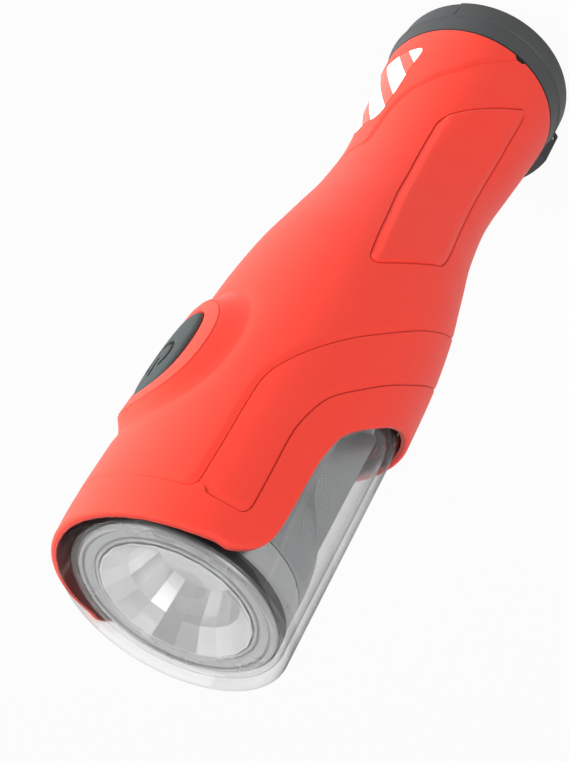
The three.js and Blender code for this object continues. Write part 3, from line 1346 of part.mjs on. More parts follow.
addPart(fixed, 'area_lead', tube([
  new THREE.Vector3(-wireSlotHalfWidth / 2, boardThickness - boardFace + fitGap, slotMiddle - leadRadius),
  new THREE.Vector3(-wireSlotHalfWidth / 2, -housingRadius * 0.7, slotMiddle - leadRadius),
  new THREE.Vector3(-wireSlotHalfWidth / 2, 0, slotMiddle - leadRadius * 3),
  new THREE.Vector3(-wireSlotHalfWidth / 2, areaBoardFace - areaBoardThickness - fitGap, slotMiddle - leadRadius * 3),
], leadRadius, 12), leadBlack);

// Button
addPart(button, 'power_button', powerButton(), padRubber);
addPart(button, 'switch_stem', peg(switchStemRadius, -switchStemTop, switchStemLength - switchStemTop, 0, buttonZ), blackGloss);

// Crank cap, arm and knob
addPart(crank, 'crank_cap', crankCap(), charcoal);
addPart(crank, 'hinge_block', hingeBlock(), blackGloss);
addPart(crank, 'hinge_pin', crossRod(hingePinRadius, hingeBlockHalfWidth - fitGap, hingeOffset, hingeHeight), steel);
addPart(crank, 'crank_arm', crankArm(), charcoal);
addPart(crank, 'knob_rivet', knobRivet(), steel, 0, -knobOffset);
addPart(crank, 'crank_knob', crankKnob(), charcoal, 0, -knobOffset, knobZ);
addPart(crank, 'crank_shaft', crankShaft(), steel);
addPart(crank, 'shaft_screw', shaftScrew(), darkSteel);
addPart(crank, 'crank_gear', crankGear(), acetal, 0, 0, crankGearZ);

// Gears, each turned into mesh with the one that drives it
const idlerGear = addPart(flashlight, 'idler_gear', compoundGear(idlerTeeth, idlerWidth, idlerZ - crankGearZ), acetal, idlerAxis.x, idlerAxis.y, crankGearZ);
idlerGear.rotation.z = idlerTurn;
const wheelGear = addPart(flashlight, 'wheel_gear', compoundGear(wheelTeeth, wheelWidth, wheelZ - idlerZ), acetal, wheelAxis.x, wheelAxis.y, idlerZ);
wheelGear.rotation.z = wheelTurn;
const rotor = addPart(flashlight, 'rotor_shaft', rotorShaft(), steel, rotorAxis.x, rotorAxis.y, wheelZ);
rotor.rotation.z = rotorTurn;
addPart(flashlight, 'rotor_magnet', rotorMagnet(), darkSteel, rotorAxis.x, rotorAxis.y, canZ + magnetInset);

export default flashlight;
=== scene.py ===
import bpy
import bmesh
import math
import numpy as np
from mathutils import Matrix, Vector
from mathutils.geometry import delaunay_2d_cdt


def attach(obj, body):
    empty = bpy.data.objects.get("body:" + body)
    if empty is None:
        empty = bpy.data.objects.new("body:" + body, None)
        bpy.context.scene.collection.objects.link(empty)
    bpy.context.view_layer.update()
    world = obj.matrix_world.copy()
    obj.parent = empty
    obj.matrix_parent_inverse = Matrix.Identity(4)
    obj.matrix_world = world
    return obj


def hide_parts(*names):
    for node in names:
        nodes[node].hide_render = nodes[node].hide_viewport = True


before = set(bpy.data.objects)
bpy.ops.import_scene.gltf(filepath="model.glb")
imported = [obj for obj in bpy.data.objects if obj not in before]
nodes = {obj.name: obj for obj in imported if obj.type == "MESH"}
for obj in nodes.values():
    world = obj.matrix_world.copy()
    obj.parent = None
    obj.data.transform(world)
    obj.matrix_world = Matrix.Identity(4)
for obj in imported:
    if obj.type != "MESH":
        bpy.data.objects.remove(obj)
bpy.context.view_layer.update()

from types import SimpleNamespace

mm = 0.001
scene = bpy.context.scene
scene.view_settings.view_transform = "Standard"
print("frame loaded:", len(nodes), "CAD nodes")


# camera: fitted to the photograph, place in millimetres
cameraView = {
    "place": (-291.2, -92.7, 379.3), "right": (-0.5550, 0.7292, -0.4003), "up": (-0.3641, -0.6457, -0.6713),
    "lens": 75.69, "sensor": 36, "clipStart": 0.01,
}
right = Vector(cameraView["right"]).normalized()
up = Vector(cameraView["up"])
up = (up - right * up.dot(right)).normalized()
back = right.cross(up)
cameraData = bpy.data.cameras.new("photoCamera")
cameraData.lens = cameraView["lens"]
cameraData.sensor_width = cameraView["sensor"]
cameraData.clip_start = cameraView["clipStart"]
photoCamera = bpy.data.objects.new("photoCamera", cameraData)
scene.collection.objects.link(photoCamera)
aim = Matrix((right, up, back)).transposed().to_4x4()
photoCamera.matrix_world = Matrix.Translation(Vector(cameraView["place"]) * mm) @ aim
scene.camera = photoCamera
print("camera placed")


# tools for finishes
def linearColour(code):
    # sRGB hex to the linear colour that the shaders take
    parts = [int(code[i:i + 2], 16) / 255 for i in (1, 3, 5)]
    return tuple(c / 12.92 if c <= 0.04045 else ((c + 0.055) / 1.055) ** 2.4 for c in parts) + (1.0,)


def addNode(tree, kind, inputs, **settings):
    # one node; each input is a value, an sRGB code or the socket that feeds it
    made = tree.nodes.new(kind)
    for key, value in settings.items():
        setattr(made, key, value)
    for key, source in inputs.items():
        if isinstance(source, bpy.types.NodeSocket):
            tree.links.new(source, made.inputs[key])
        else:
            made.inputs[key].default_value = linearColour(source) if isinstance(source, str) else source
    return made


def mathNode(tree, operation, *inputs):
    return addNode(tree, "ShaderNodeMath", dict(enumerate(inputs)), operation=operation).outputs[0]


def mixNode(tree, factor, a, b, kind="RGBA"):
    return addNode(tree, "ShaderNodeMix", {"Factor": factor, "A": a, "B": b}, data_type=kind).outputs["Result"]


def bumpNode(tree, height, depth, **inputs):
    inputs.update(Strength=1.0, Distance=depth * mm, Height=height)
    return addNode(tree, "ShaderNodeBump", inputs).outputs["Normal"]


def objectPlace(tree):
    return addNode(tree, "ShaderNodeTexCoord", {}).outputs["Object"]


def newFinish(name, colour, roughness, metallic=0.0, **sockets):
    finish = bpy.data.materials.new(name)
    finish.use_nodes = True
    shader = finish.node_tree.nodes["Principled BSDF"]
    shader.inputs["Base Color"].default_value = linearColour(colour)
    shader.inputs["Roughness"].default_value = roughness
    shader.inputs["Metallic"].default_value = metallic
    for key, value in sockets.items():
        shader.inputs[key.replace("_", " ")].default_value = value
    finish.diffuse_color = linearColour(colour)
    return finish, finish.node_tree, shader


def wornFinish(name, colour, drift, roughness, metallic, grain, depth, patch, rough=None, **sockets):
    # fine grain as bump, a broad drift between two colours and uneven sheen; grain, depth and patch in millimetres
    finish, tree, shader = newFinish(name, colour, roughness, metallic, **sockets)
    place = objectPlace(tree)
    fine = addNode(tree, "ShaderNodeTexNoise", {"Scale": 1000 / grain, "Detail": 2.0, "Vector": place})
    tree.links.new(bumpNode(tree, fine.outputs["Fac"], depth), shader.inputs["Normal"])
    broad = addNode(tree, "ShaderNodeTexNoise", {"Scale": 1000 / patch, "Detail": 3.0, "Vector": place}).outputs["Fac"]
    tree.links.new(mixNode(tree, broad, *drift), shader.inputs["Base Color"])
    if rough:
        sheen = addNode(tree, "ShaderNodeMapRange", {"To Min": rough[0], "To Max": rough[1], "Value": broad})
        tree.links.new(sheen.outputs["Result"], shader.inputs["Roughness"])
    return finish


def shaderOf(finish):
    # a finish's nodes, its shader and what feeds the shader's colour and normal so far
    tree = finish.node_tree
    shader = tree.nodes["Principled BSDF"]
    return tree, shader, *(shader.inputs[key].links[0].from_socket for key in ("Base Color", "Normal"))


def surfaceMix(tree, factor, first, second):
    mixed = addNode(tree, "ShaderNodeMixShader", {0: factor, 1: first.outputs[0], 2: second.outputs[0]})
    tree.links.new(mixed.outputs[0], tree.nodes["Material Output"].inputs["Surface"])


# tools for pieces, sizes in millimetres
def deselect():
    bpy.ops.object.select_all(action="DESELECT")


def makeActive(piece):
    deselect()
    piece.select_set(True)
    bpy.context.view_layer.objects.active = piece


def applyModifier(piece, kind, **settings):
    makeActive(piece)
    modifier = piece.modifiers.new(kind.title(), kind)
    for key, value in settings.items():
        setattr(modifier, key, value)
    bpy.ops.object.modifier_apply(modifier=modifier.name)


def cutWith(piece, tool, operation="DIFFERENCE"):
    applyModifier(piece, "BOOLEAN", operation=operation, object=tool, solver="EXACT")
    bpy.data.objects.remove(tool)


def editAll(piece, step, **settings):
    # one edit-mode step on the whole mesh
    makeActive(piece)
    bpy.ops.object.mode_set(mode="EDIT")
    bpy.ops.mesh.select_all(action="SELECT")
    step(**settings)
    bpy.ops.object.mode_set(mode="OBJECT")


def faceOut(piece):
    editAll(piece, bpy.ops.mesh.normals_make_consistent, inside=False)


def smoothByAngle(piece, angle=35):
    makeActive(piece)
    bpy.ops.object.shade_smooth_by_angle(angle=math.radians(angle))


def softenEdges(piece, width, segments=2, angle=32):
    applyModifier(piece, "BEVEL", width=width * mm, segments=segments, limit_method="ANGLE",
                  angle_limit=math.radians(angle), harden_normals=False)
    smoothByAngle(piece, 40)
    applyModifier(piece, "WEIGHTED_NORMAL", keep_sharp=True)


def finishPiece(piece, body, finishes, replaced=()):
    piece.data.materials.clear()
    for finish in finishes:
        piece.data.materials.append(finish)
    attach(piece, body)
    if replaced:
        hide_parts(*replaced)


def named(name):
    # the primitive just added, its place put into its mesh
    piece = bpy.context.object
    piece.name = name
    bpy.ops.object.transform_apply(location=True, rotation=True, scale=True)
    return piece


def meshPiece(name, build):
    mesh = bpy.data.meshes.new(name)
    build.to_mesh(mesh)
    build.free()
    piece = bpy.data.objects.new(name, mesh)
    scene.collection.objects.link(piece)
    return piece


def turnedPiece(name, outline, steps):
    # a lathe piece: one point drawn along the outline by extrusion, then spun about Z
    deselect()
    bpy.ops.mesh.primitive_plane_add(size=mm)
    piece = named(name)
    path = list(outline) + ([outline[0]] if outline[0][0] > 0 else [])
    bpy.ops.object.mode_set(mode="EDIT")
    bpy.ops.mesh.select_all(action="SELECT")
    bpy.ops.mesh.merge(type="CENTER")
    bpy.ops.transform.translate(value=(path[0][0] * mm, 0, path[0][1] * mm))
    for (r0, z0), (r1, z1) in zip(path, path[1:]):
        bpy.ops.mesh.extrude_region_move(TRANSFORM_OT_translate={"value": ((r1 - r0) * mm, 0, (z1 - z0) * mm)})
    bpy.ops.object.mode_set(mode="OBJECT")
    editAll(piece, bpy.ops.mesh.spin, steps=steps, angle=2 * math.pi, center=(0, 0, 0), axis=(0, 0, 1))
    editAll(piece, bpy.ops.mesh.remove_doubles, threshold=0.002 * mm)
    faceOut(piece)
    smoothByAngle(piece)
    return piece


def outlinePiece(name, outline, low, high, turn=None):
    # a flat outline raised along Z: a filled circle whose points are set to the outline, then turned
    deselect()
    bpy.ops.mesh.primitive_circle_add(vertices=len(outline), radius=mm, fill_type="NGON")
    piece = named(name)
    for vertex, (x, y) in zip(piece.data.vertices, outline):
        vertex.co = (x * mm, y * mm, low * mm)
    editAll(piece, bpy.ops.mesh.extrude_region_move, TRANSFORM_OT_translate={"value": (0, 0, (high - low) * mm)})
    if turn:
        piece.data.transform(Matrix(turn).to_4x4())
    faceOut(piece)
    return piece


def blockPiece(name, low, high):
    # a box between two corners, for booleans and as the stock of a part
    deselect()
    bpy.ops.mesh.primitive_cube_add(size=1)
    piece = named(name)
    for vertex in piece.data.vertices:
        vertex.co = [(low[i] if vertex.co[i] < 0 else high[i]) * mm for i in range(3)]
    return piece


def rodPiece(name, radius, low, high, x=0.0, y=0.0, sides=64):
    # a round bar along Z
    deselect()
    bpy.ops.mesh.primitive_cylinder_add(vertices=sides, radius=radius * mm, depth=(high - low) * mm,
                                        location=(x * mm, y * mm, (low + high) / 2 * mm))
    return named(name)


def arcPoints(radius, start, sweep, steps, x=0.0, y=0.0):
    # points on a circle about (x, y), angles in degrees
    turns = [math.radians(start + sweep * i / steps) for i in range(steps + 1)]
    return [(x + radius * math.cos(a), y + radius * math.sin(a)) for a in turns]


# the grip's own form, the same as the CAD
gripForm = {
    "rear": 13.3, "front": 206.4, "waist": 57.0, "head": 180.0,
    "tailRadius": 25.9, "waistRadius": 22.2, "headRadius": 30.8, "lipRadius": 30.0,
    "tailBlend": [(0, 1), (0.19, 0.84), (0.574, 0.39), (0.85, 0.07), (1, 0)],
    "headBlend": [(0, 0), (0.122, 0.105), (0.258, 0.419), (0.395, 0.733), (0.532, 0.884), (0.668, 0.93),
                  (0.805, 0.965), (1, 1)],
    "lipBlend": [(0, 0), (0.36, 0.02), (0.7, 0.35), (1, 1)],
}


def blend(table, share):
    # smooth curve through a table of shares that never overshoots
    s = np.clip(np.asarray(share, float), 0, 1)
    x, y = np.array(table, float).T
    slope = np.diff(y) / np.diff(x)
    bend = np.zeros(len(x))
    for n in range(1, len(x) - 1):
        before, after = slope[n - 1], slope[n]
        bend[n] = 2 * before * after / (before + after) if before * after > 0 else 0
    k = np.clip(np.searchsorted(x, s, side="right") - 1, 0, len(x) - 2)
    width = x[k + 1] - x[k]
    u = (s - x[k]) / width
    rise = (1 - u) ** 2 * u * width * bend[k] - (1 - u) * u ** 2 * width * bend[k + 1]
    return y[k] + (y[k + 1] - y[k]) * u * u * (3 - 2 * u) + rise


def gripRadius(z):
    g = SimpleNamespace(**gripForm)
    z = np.asarray(z, float)
    tail = g.waistRadius + (g.tailRadius - g.waistRadius) * blend(g.tailBlend, (z - g.rear) / (g.waist - g.rear))
    head = g.waistRadius + (g.headRadius - g.waistRadius) * blend(g.headBlend, (z - g.waist) / (g.head - g.waist))
    lip = g.headRadius - (g.headRadius - g.lipRadius) * blend(g.lipBlend, (z - g.head) / (g.front - g.head))
    return np.where(z < g.waist, tail, np.where(z < g.head, head, lip))


def arcAt(z, angle):
    # how far round the grip an angle reaches at this height
    return math.radians(angle) * float(gripRadius(z))


def curveThrough(points, spacing, closed=False):
    # smooth line through (height, angle) points, as evenly spaced (height, arc) points
    flat = [(z, arcAt(z, a)) for z, a in points]
    count = len(flat)
    dense = []
    for i in range(count if closed else count - 1):
        p = [np.array(flat[(i + k) % count if closed else min(max(i + k, 0), count - 1)]) for k in (-1, 0, 1, 2)]
        for t in np.linspace(0, 1, 12, endpoint=False):
            dense.append(0.5 * ((2 * p[1]) + (p[2] - p[0]) * t + (2 * p[0] - 5 * p[1] + 4 * p[2] - p[3]) * t ** 2
                                + (3 * p[1] - p[0] - 3 * p[2] + p[3]) * t ** 3))
    dense.append(np.array(flat[0 if closed else -1]))
    dense = np.array(dense)
    length = np.concatenate([[0], np.cumsum(np.hypot(*np.diff(dense, axis=0).T))])
    at = np.linspace(0, length[-1], max(2, int(round(length[-1] / spacing))) + 1)
    line = np.stack([np.interp(at, length, dense[:, 0]), np.interp(at, length, dense[:, 1])], 1)
    return line[:-1] if closed else line


def sideDistance(points, line, widths=None):
    # signed distance from a line, positive on its left; widths divide it span by span
    best = np.full(len(points), 1e9)
    sign = np.ones(len(points))
    for i, (a, b) in enumerate(zip(line[:-1], line[1:])):
        ab = b - a
        rel = points - a
        t = np.clip((rel @ ab) / (ab @ ab), 0, 1)
        off = rel - t[:, None] * ab
        d = np.hypot(off[:, 0], off[:, 1]) / (1 if widths is None else widths[i] + (widths[i + 1] - widths[i]) * t)
        closer = d < best - 1e-9
        best[closer] = d[closer]
        cross = ab[0] * rel[:, 1] - ab[1] * rel[:, 0]
        sign[closer] = np.where(cross[closer] >= 0, 1, -1)
    return best * sign


def offsetLine(line, distance, closed=False):
    # the line moved to its left
    if closed:
        ahead, behind = np.roll(line, -1, axis=0), np.roll(line, 1, axis=0)
    else:
        ahead, behind = np.vstack([line[1:], line[-1:]]), np.vstack([line[:1], line[:-1]])
    tangent = ahead - behind
    tangent /= np.hypot(tangent[:, 0], tangent[:, 1])[:, None]
    return line + np.reshape(distance, (-1, 1)) * np.stack([-tangent[:, 1], tangent[:, 0]], 1)


def closeLine(line):
    return np.vstack([line, line[:1]])


# grip skin: outlines read from the photograph as (height, angle from the button side)
gripSkin = {
    "wall": 2.4, "socketRadius": 28.3, "socketRear": 131.7, "grid": 1.5, "innerGrid": 3.0,
    "lineSpacing": 0.8, "edgeSpacing": 0.7, "sideSpacing": 1.4, "rearCount": 110, "roundSteps": 5,
    "edgeRound": 0.9, "tailRound": 0.22, "holeRound": 0.5, "wallLip": 0.15,
    "holeCentre": 154.0, "holeHalfLength": 14.1, "holeHalfWidth": 8.8,
    "notchAngle": 88.0, "notchHalfWidth": 1.3, "notchDepth": 1.1, "notchSlope": 0.5,
    "slotHalf": 0.2, "slotFloor": 0.1, "slotDepth": 0.24, "ringHalf": 0.3,
    "lineDepth": 0.42, "tailDepth": 0.75, "lineChamfer": 1.8,
    "panelRise": 0.6, "panelFoot": 0.3, "panelSide": 2.4, "panelEnd": 0.6,
    "islandRise": 2.3, "islandHalfLength": 18.0, "islandHalfWidth": 13.7, "islandCentre": 154.8,
    "moundHalfLength": 22.6, "moundHalfWidth": 19.6, "moundCentre": 153.8, "moundFoot": 0.35, "moundSkirt": 0.14,
    "ovalPower": 2.35, "outlinePower": 0.85, "holePower": 0.82,
    "labelDepth": 0.7, "labelGap": 0.3, "labelStep": 0.08, "labelRear": 18, "labelFront": 51, "labelSide": 14,
    "frontEdge": [(205.9, 0), (205.6, 30), (204.7, 58), (203.6, 74), (203.3, 81), (200.2, 89), (196.8, 93),
                  (192.4, 94.6), (186.3, 95), (173.4, 95.3), (168, 96.6), (162.7, 99), (157, 105.5), (148.1, 120),
                  (144.4, 128), (140.9, 139), (138.3, 158), (137.5, 180)],
    "tailLine": [(67, 0), (63.7, 6), (62.9, 14), (61.1, 20), (55.3, 21.5), (49.6, 23.4), (45.1, 27), (40.2, 33.4),
                 (36.9, 40.8), (33.5, 48), (29.4, 57.7), (23.6, 68.4), (19.8, 76), (14.6, 86.5)],
    "upperLine": [(195.4, 0), (195.4, 30), (195.3, 50), (194.9, 54), (193.4, 56.2), (190.7, 56.6), (179.2, 56.6),
                  (169.1, 56.3), (160.7, 56.9), (154.3, 61.2), (147.3, 68.9), (138.4, 80.9), (129.2, 95.3),
                  (117.3, 114.5), (108.2, 133), (101.5, 150), (97.5, 165), (96.3, 180)],
    "lowerLine": [(194.2, 60.2), (195.2, 62), (195.4, 69.3), (195.2, 76.6), (193.4, 79.3), (190, 79.6), (180.5, 79.2),
                  (170, 79), (162.1, 81.6), (155.9, 86.1), (148.6, 96), (140.5, 108), (130.4, 125.7), (124, 138.4),
                  (118.5, 152), (115, 166), (113.9, 180)],
    "panelEdge": [(113.3, 72.4), (112, 69.3), (105, 67.5), (97, 66.2), (78.7, 63.1), (62.5, 61.6), (53, 61.4),
                  (49.6, 62.4), (47.4, 64.6), (44.3, 69.6), (37.9, 83.1), (31.7, 96.3), (27.8, 104.3), (26.4, 107),
                  (26.2, 109.4), (27.2, 111.3), (30, 112.7), (41.2, 114.6), (58.3, 116), (74.6, 113.6),
                  (88.2, 110.5), (94.4, 108.2), (97.2, 105.6), (99.2, 101.6), (104.6, 91.4), (110.4, 80), (112.7, 75)],
    "labelEdge": [(48.9, 0), (48.9, 9), (48.4, 12.6), (46.9, 15.4), (44.6, 17), (39.8, 19.8), (33.1, 22.1),
                  (27.2, 24.4), (23.4, 26.2), (21.6, 25.8), (20.8, 23.6), (20.6, 18), (20.6, 9), (20.6, 0)],
}
skin = SimpleNamespace(**gripSkin)


def oval(centre, halfLength, halfWidth, count, power):
    # half an oval in (height, arc), from its front end round its side to its rear end
    points = []
    for i in range(count + 1):
        c, s = math.cos(math.pi * i / count), math.sin(math.pi * i / count)
        points.append((centre + halfLength * math.copysign(abs(c) ** power, c), halfWidth * abs(s) ** power))
    return np.array(points)


def moundOval(share):
    return oval(skin.moundCentre, skin.moundHalfLength * share, skin.moundHalfWidth * share, 60, skin.outlinePower)


def gripLines():
    # the drawn lines of one half of the skin, in (height, arc)
    lines = {name: curveThrough(gripSkin[name + "Line"], skin.lineSpacing) for name in ("tail", "upper", "lower")}
    lines["panel"] = curveThrough(skin.panelEdge[::-1], skin.lineSpacing, closed=True)
    lines["label"] = curveThrough(skin.labelEdge, skin.edgeSpacing)
    lines["island"] = oval(skin.islandCentre, skin.islandHalfLength, skin.islandHalfWidth, 80, skin.outlinePower)
    return lines


def smoothStep(x):
    x = np.clip(x, 0, 1)
    return x * x * (3 - 2 * x)


def slotShare(d, half):
    # 1 on the floor of a parting slot, 0 on the skin beside it
    return 1 - np.clip((np.abs(d) - skin.slotFloor) / (half - skin.slotFloor), 0, 1)


def lineStep(d, depth):
    # past the slot the skin starts lower and climbs straight back to a soft crease
    return -depth * np.where(d > 0, np.clip(1 - d / skin.lineChamfer, 0, 1), 0)


def panelWidths(line):
    # the panel's chamfer is wide along its sides and narrow at its two ends
    step = np.roll(line, -1, axis=0) - np.roll(line, 1, axis=0)
    along = np.abs(step[:, 0]) / np.hypot(step[:, 0], step[:, 1])
    for spread in range(3):
        along = (np.roll(along, 1) + along + np.roll(along, -1)) / 3
    width = skin.panelEnd + (skin.panelSide - skin.panelEnd) * smoothStep((along - 0.82) / 0.13)
    return np.append(width, width[0])


def insideOval(points, centre, halfLength, halfWidth):
    # 0 at the middle, 1 on the rim
    z, arc = (points[:, 0] - centre) / halfLength, points[:, 1] / halfWidth
    return (np.abs(z) ** skin.ovalPower + np.abs(arc) ** skin.ovalPower) ** 0.5


def skinRise(points, lines):
    # height of the skin over the turned form at (height, arc) points, and how deep in a slot or the label's recess each
    # lies, which sets the painted shade there
    s = skin
    rise = np.zeros(len(points))
    slot = np.zeros(len(points))
    for name, depth in (("tail", s.tailDepth), ("upper", s.lineDepth), ("lower", s.lineDepth)):
        d = sideDistance(points, lines[name])
        rise += lineStep(d, depth)
        slot = np.maximum(slot, slotShare(d, s.slotHalf))
    loop = closeLine(lines["panel"])
    d = sideDistance(points, loop)
    climb = np.minimum(np.abs(sideDistance(points, loop, panelWidths(lines["panel"]))), 1)
    rise += np.where(d > 0, -s.panelFoot + (s.panelRise + s.panelFoot) * climb, 0)
    slot = np.maximum(slot, slotShare(d, s.slotHalf))
    rim = insideOval(points, s.islandCentre, s.islandHalfLength, s.islandHalfWidth)
    outer = insideOval(points, s.moundCentre, s.moundHalfLength, s.moundHalfWidth)
    reach = np.clip((1 - outer) / np.maximum(rim - outer, 1e-6), 0, 1)
    reach = 0.6 * reach + 0.4 * smoothStep(reach)  # a straight flank with softened ends
    foot = smoothStep((1 + s.moundSkirt - outer) / s.moundSkirt)
    flank = (s.islandRise + s.moundFoot) * reach - s.moundFoot * foot
    rise += np.where(rim < 1, s.islandRise, np.where(outer < 1 + s.moundSkirt, flank, 0))
    slot = np.maximum(slot, slotShare(sideDistance(points, lines["island"]), s.ringHalf))
    z, arc = points.T
    near = (z > s.labelRear) & (z < s.labelFront) & (arc < s.labelSide)
    recess = np.clip((sideDistance(points, lines["label"]) + s.labelGap) / s.labelStep, 0, 1) * near
    return rise - s.slotDepth * slot - s.labelDepth * recess, np.maximum(slot, recess)


def wrap(points, radius):
    # (height, arc) onto the grip, arc measured at the turned form's own radius
    angle = points[:, 1] / gripRadius(points[:, 0])
    return np.stack([-radius * np.sin(angle), -radius * np.cos(angle), points[:, 0]], 1)


def innerRadius(z):
    bore = np.minimum(gripRadius(z) - skin.wall, skin.socketRadius - skin.wall / 2)
    return np.where(np.asarray(z) > skin.socketRear, skin.socketRadius, bore)


def onMiddle(line, ends):
    # puts the ends of an edge exactly on the mirror plane
    line = line.copy()
    for index, angle in ends:
        line[index, 1] = arcAt(line[index, 0], angle)
    return line


def edgeOffsets(line, distance, ends):
    moved = offsetLine(line, distance)
    for index, angle in ends:
        moved[index, 0] = line[index, 0] + (math.copysign(distance, moved[index, 0] - line[index, 0]) if distance else 0)
    return onMiddle(moved, ends)


# clearances of the triangulated field, and the cell in which two points count as one
field = {"fromBorder": 0.3, "fromMiddle": 0.25, "cell": 0.06, "weld": 1e-5}


def meshHalf(build, border, rows, surface):
    # a triangulated half skin: the border as it is, and inside it the rows, each kept as an edge line
    flat, edges, cells = list(border), [], set()
    loop = closeLine(border)
    every = np.vstack(rows)
    wanted = (np.abs(sideDistance(every, loop)) > field["fromBorder"]) & (every[:, 1] > field["fromMiddle"])
    within = np.zeros(len(every), bool)
    for a, b in zip(loop[:-1], loop[1:]):
        if a[1] != b[1]:
            crosses = (a[1] > every[:, 1]) != (b[1] > every[:, 1])
            within ^= crosses & (every[:, 0] < a[0] + (every[:, 1] - a[1]) / (b[1] - a[1]) * (b[0] - a[0]))
    wanted &= within
    first = 0
    for row in rows:
        last = None
        for point, take in zip(row, wanted[first:first + len(row)]):
            cell = (round(point[0] / field["cell"]), round(point[1] / field["cell"]))
            if not take or cell in cells:
                last = None
                continue
            cells.add(cell)
            flat.append(point)
            if last is not None:
                edges.append((last, len(flat) - 1))
            last = len(flat) - 1
        first += len(row)
    flat = [Vector((float(z), float(arc))) for z, arc in flat]
    verts, edges, faces = delaunay_2d_cdt(flat, edges, [list(range(len(border)))], 1, field["weld"])[:3]
    points = np.array([(v.x, v.y) for v in verts])
    radius, paintedShade = surface(points)
    made = addVerts(build, wrap(points, radius), paintedShade)
    for face in faces:
        build.faces.new([made[i] for i in face])


# each point keeps its share of painted shade as a vertex value
def addVerts(build, places, paintedShade):
    layer = build.verts.layers.float.get("paintedShade") or build.verts.layers.float.new("paintedShade")
    made = [build.verts.new(place * mm) for place in places]
    for vert, value in zip(made, np.broadcast_to(paintedShade, len(made))):
        vert[layer] = float(value)
    return made


def meshStrip(build, rows, paintedShades):
    made = [addVerts(build, row, paintedShade) for row, paintedShade in zip(rows, paintedShades)]
    for a, b in zip(made, made[1:]):
        for i in range(len(a) - 1):
            build.faces.new((a[i], a[i + 1], b[i + 1], b[i]))


def mirrorHalf(piece):
    applyModifier(piece, "MIRROR", use_axis=(True, False, False), use_clip=True, merge_threshold=0.004 * mm)
    faceOut(piece)


def singlePoints(spacing, avoid=()):
    # an even field of single points, clear of the drawn lines
    rows = []
    for z in np.arange(gripForm["rear"] + spacing / 2, gripForm["front"], spacing):
        width = arcAt(z, 180)
        count = int(round(width / spacing))
        rows.append(np.array([(z, width * (j + 0.5) / count) for j in range(count)]))
    ground = np.vstack(rows)
    for line, inner, outer in avoid:
        d = sideDistance(ground, line)
        ground = ground[~((d > -outer) & (d < inner))]
    return [point[None, :] for point in ground]


def drawnRows(lines):
    # rows along each drawn line, close together over its slot and its crease, and where single points stay away
    s = skin
    near = (-0.9, -0.45, -0.24, -s.slotHalf, -s.slotFloor, s.slotFloor, s.slotHalf, 0.26)
    crease = [s.lineChamfer * k for k in (0.33, 0.66)] + [s.lineChamfer + k for k in (-0.12, 0.12, 0.7)]
    rows, avoid = [], []
    for name in ("tail", "upper", "lower"):
        rows += [offsetLine(lines[name], d) for d in (*near, *crease)]
        avoid.append((lines[name], s.lineChamfer + 1.1, 1.5))
    width = panelWidths(lines["panel"])[:-1]
    crease = (width * 0.33 + 0.1, width * 0.66 + 0.1, width - 0.08, width + 0.12, width + 0.8)
    rows += [offsetLine(lines["panel"], d, True) for d in (*near, *crease)]
    avoid.append((closeLine(lines["panel"]), s.panelSide + 1.2, 1.5))
    ring = (-2.6, -1.7, -0.9, -0.4, -s.ringHalf, -s.slotFloor, s.slotFloor, s.ringHalf, 0.4, 0.9, 1.8)
    rows += [offsetLine(lines["island"], d) for d in ring]
    rows += [moundOval(share) for share in (0.94, 0.98, 1.0, 1.02, 1.07, 1.14)]
    avoid += [(lines["island"], 2.4, 3.2), (moundOval(1), 1.8, 3.2)]
    step = (-1.2, -0.7, -0.36, -s.labelGap, -s.labelGap + s.labelStep, 0.3, 1.0)
    rows += [offsetLine(lines["label"], d) for d in step]
    avoid.append((lines["label"], 1.6, 1.8))
    return rows, avoid


def sideRow(start, end, angle):
    # points along the mirror plane between two edges, without its ends
    spans = max(2, int(abs(end - start) / skin.sideSpacing))
    return np.array([(z, arcAt(z, angle)) for z in np.linspace(start, end, spans + 1)[1:-1]])


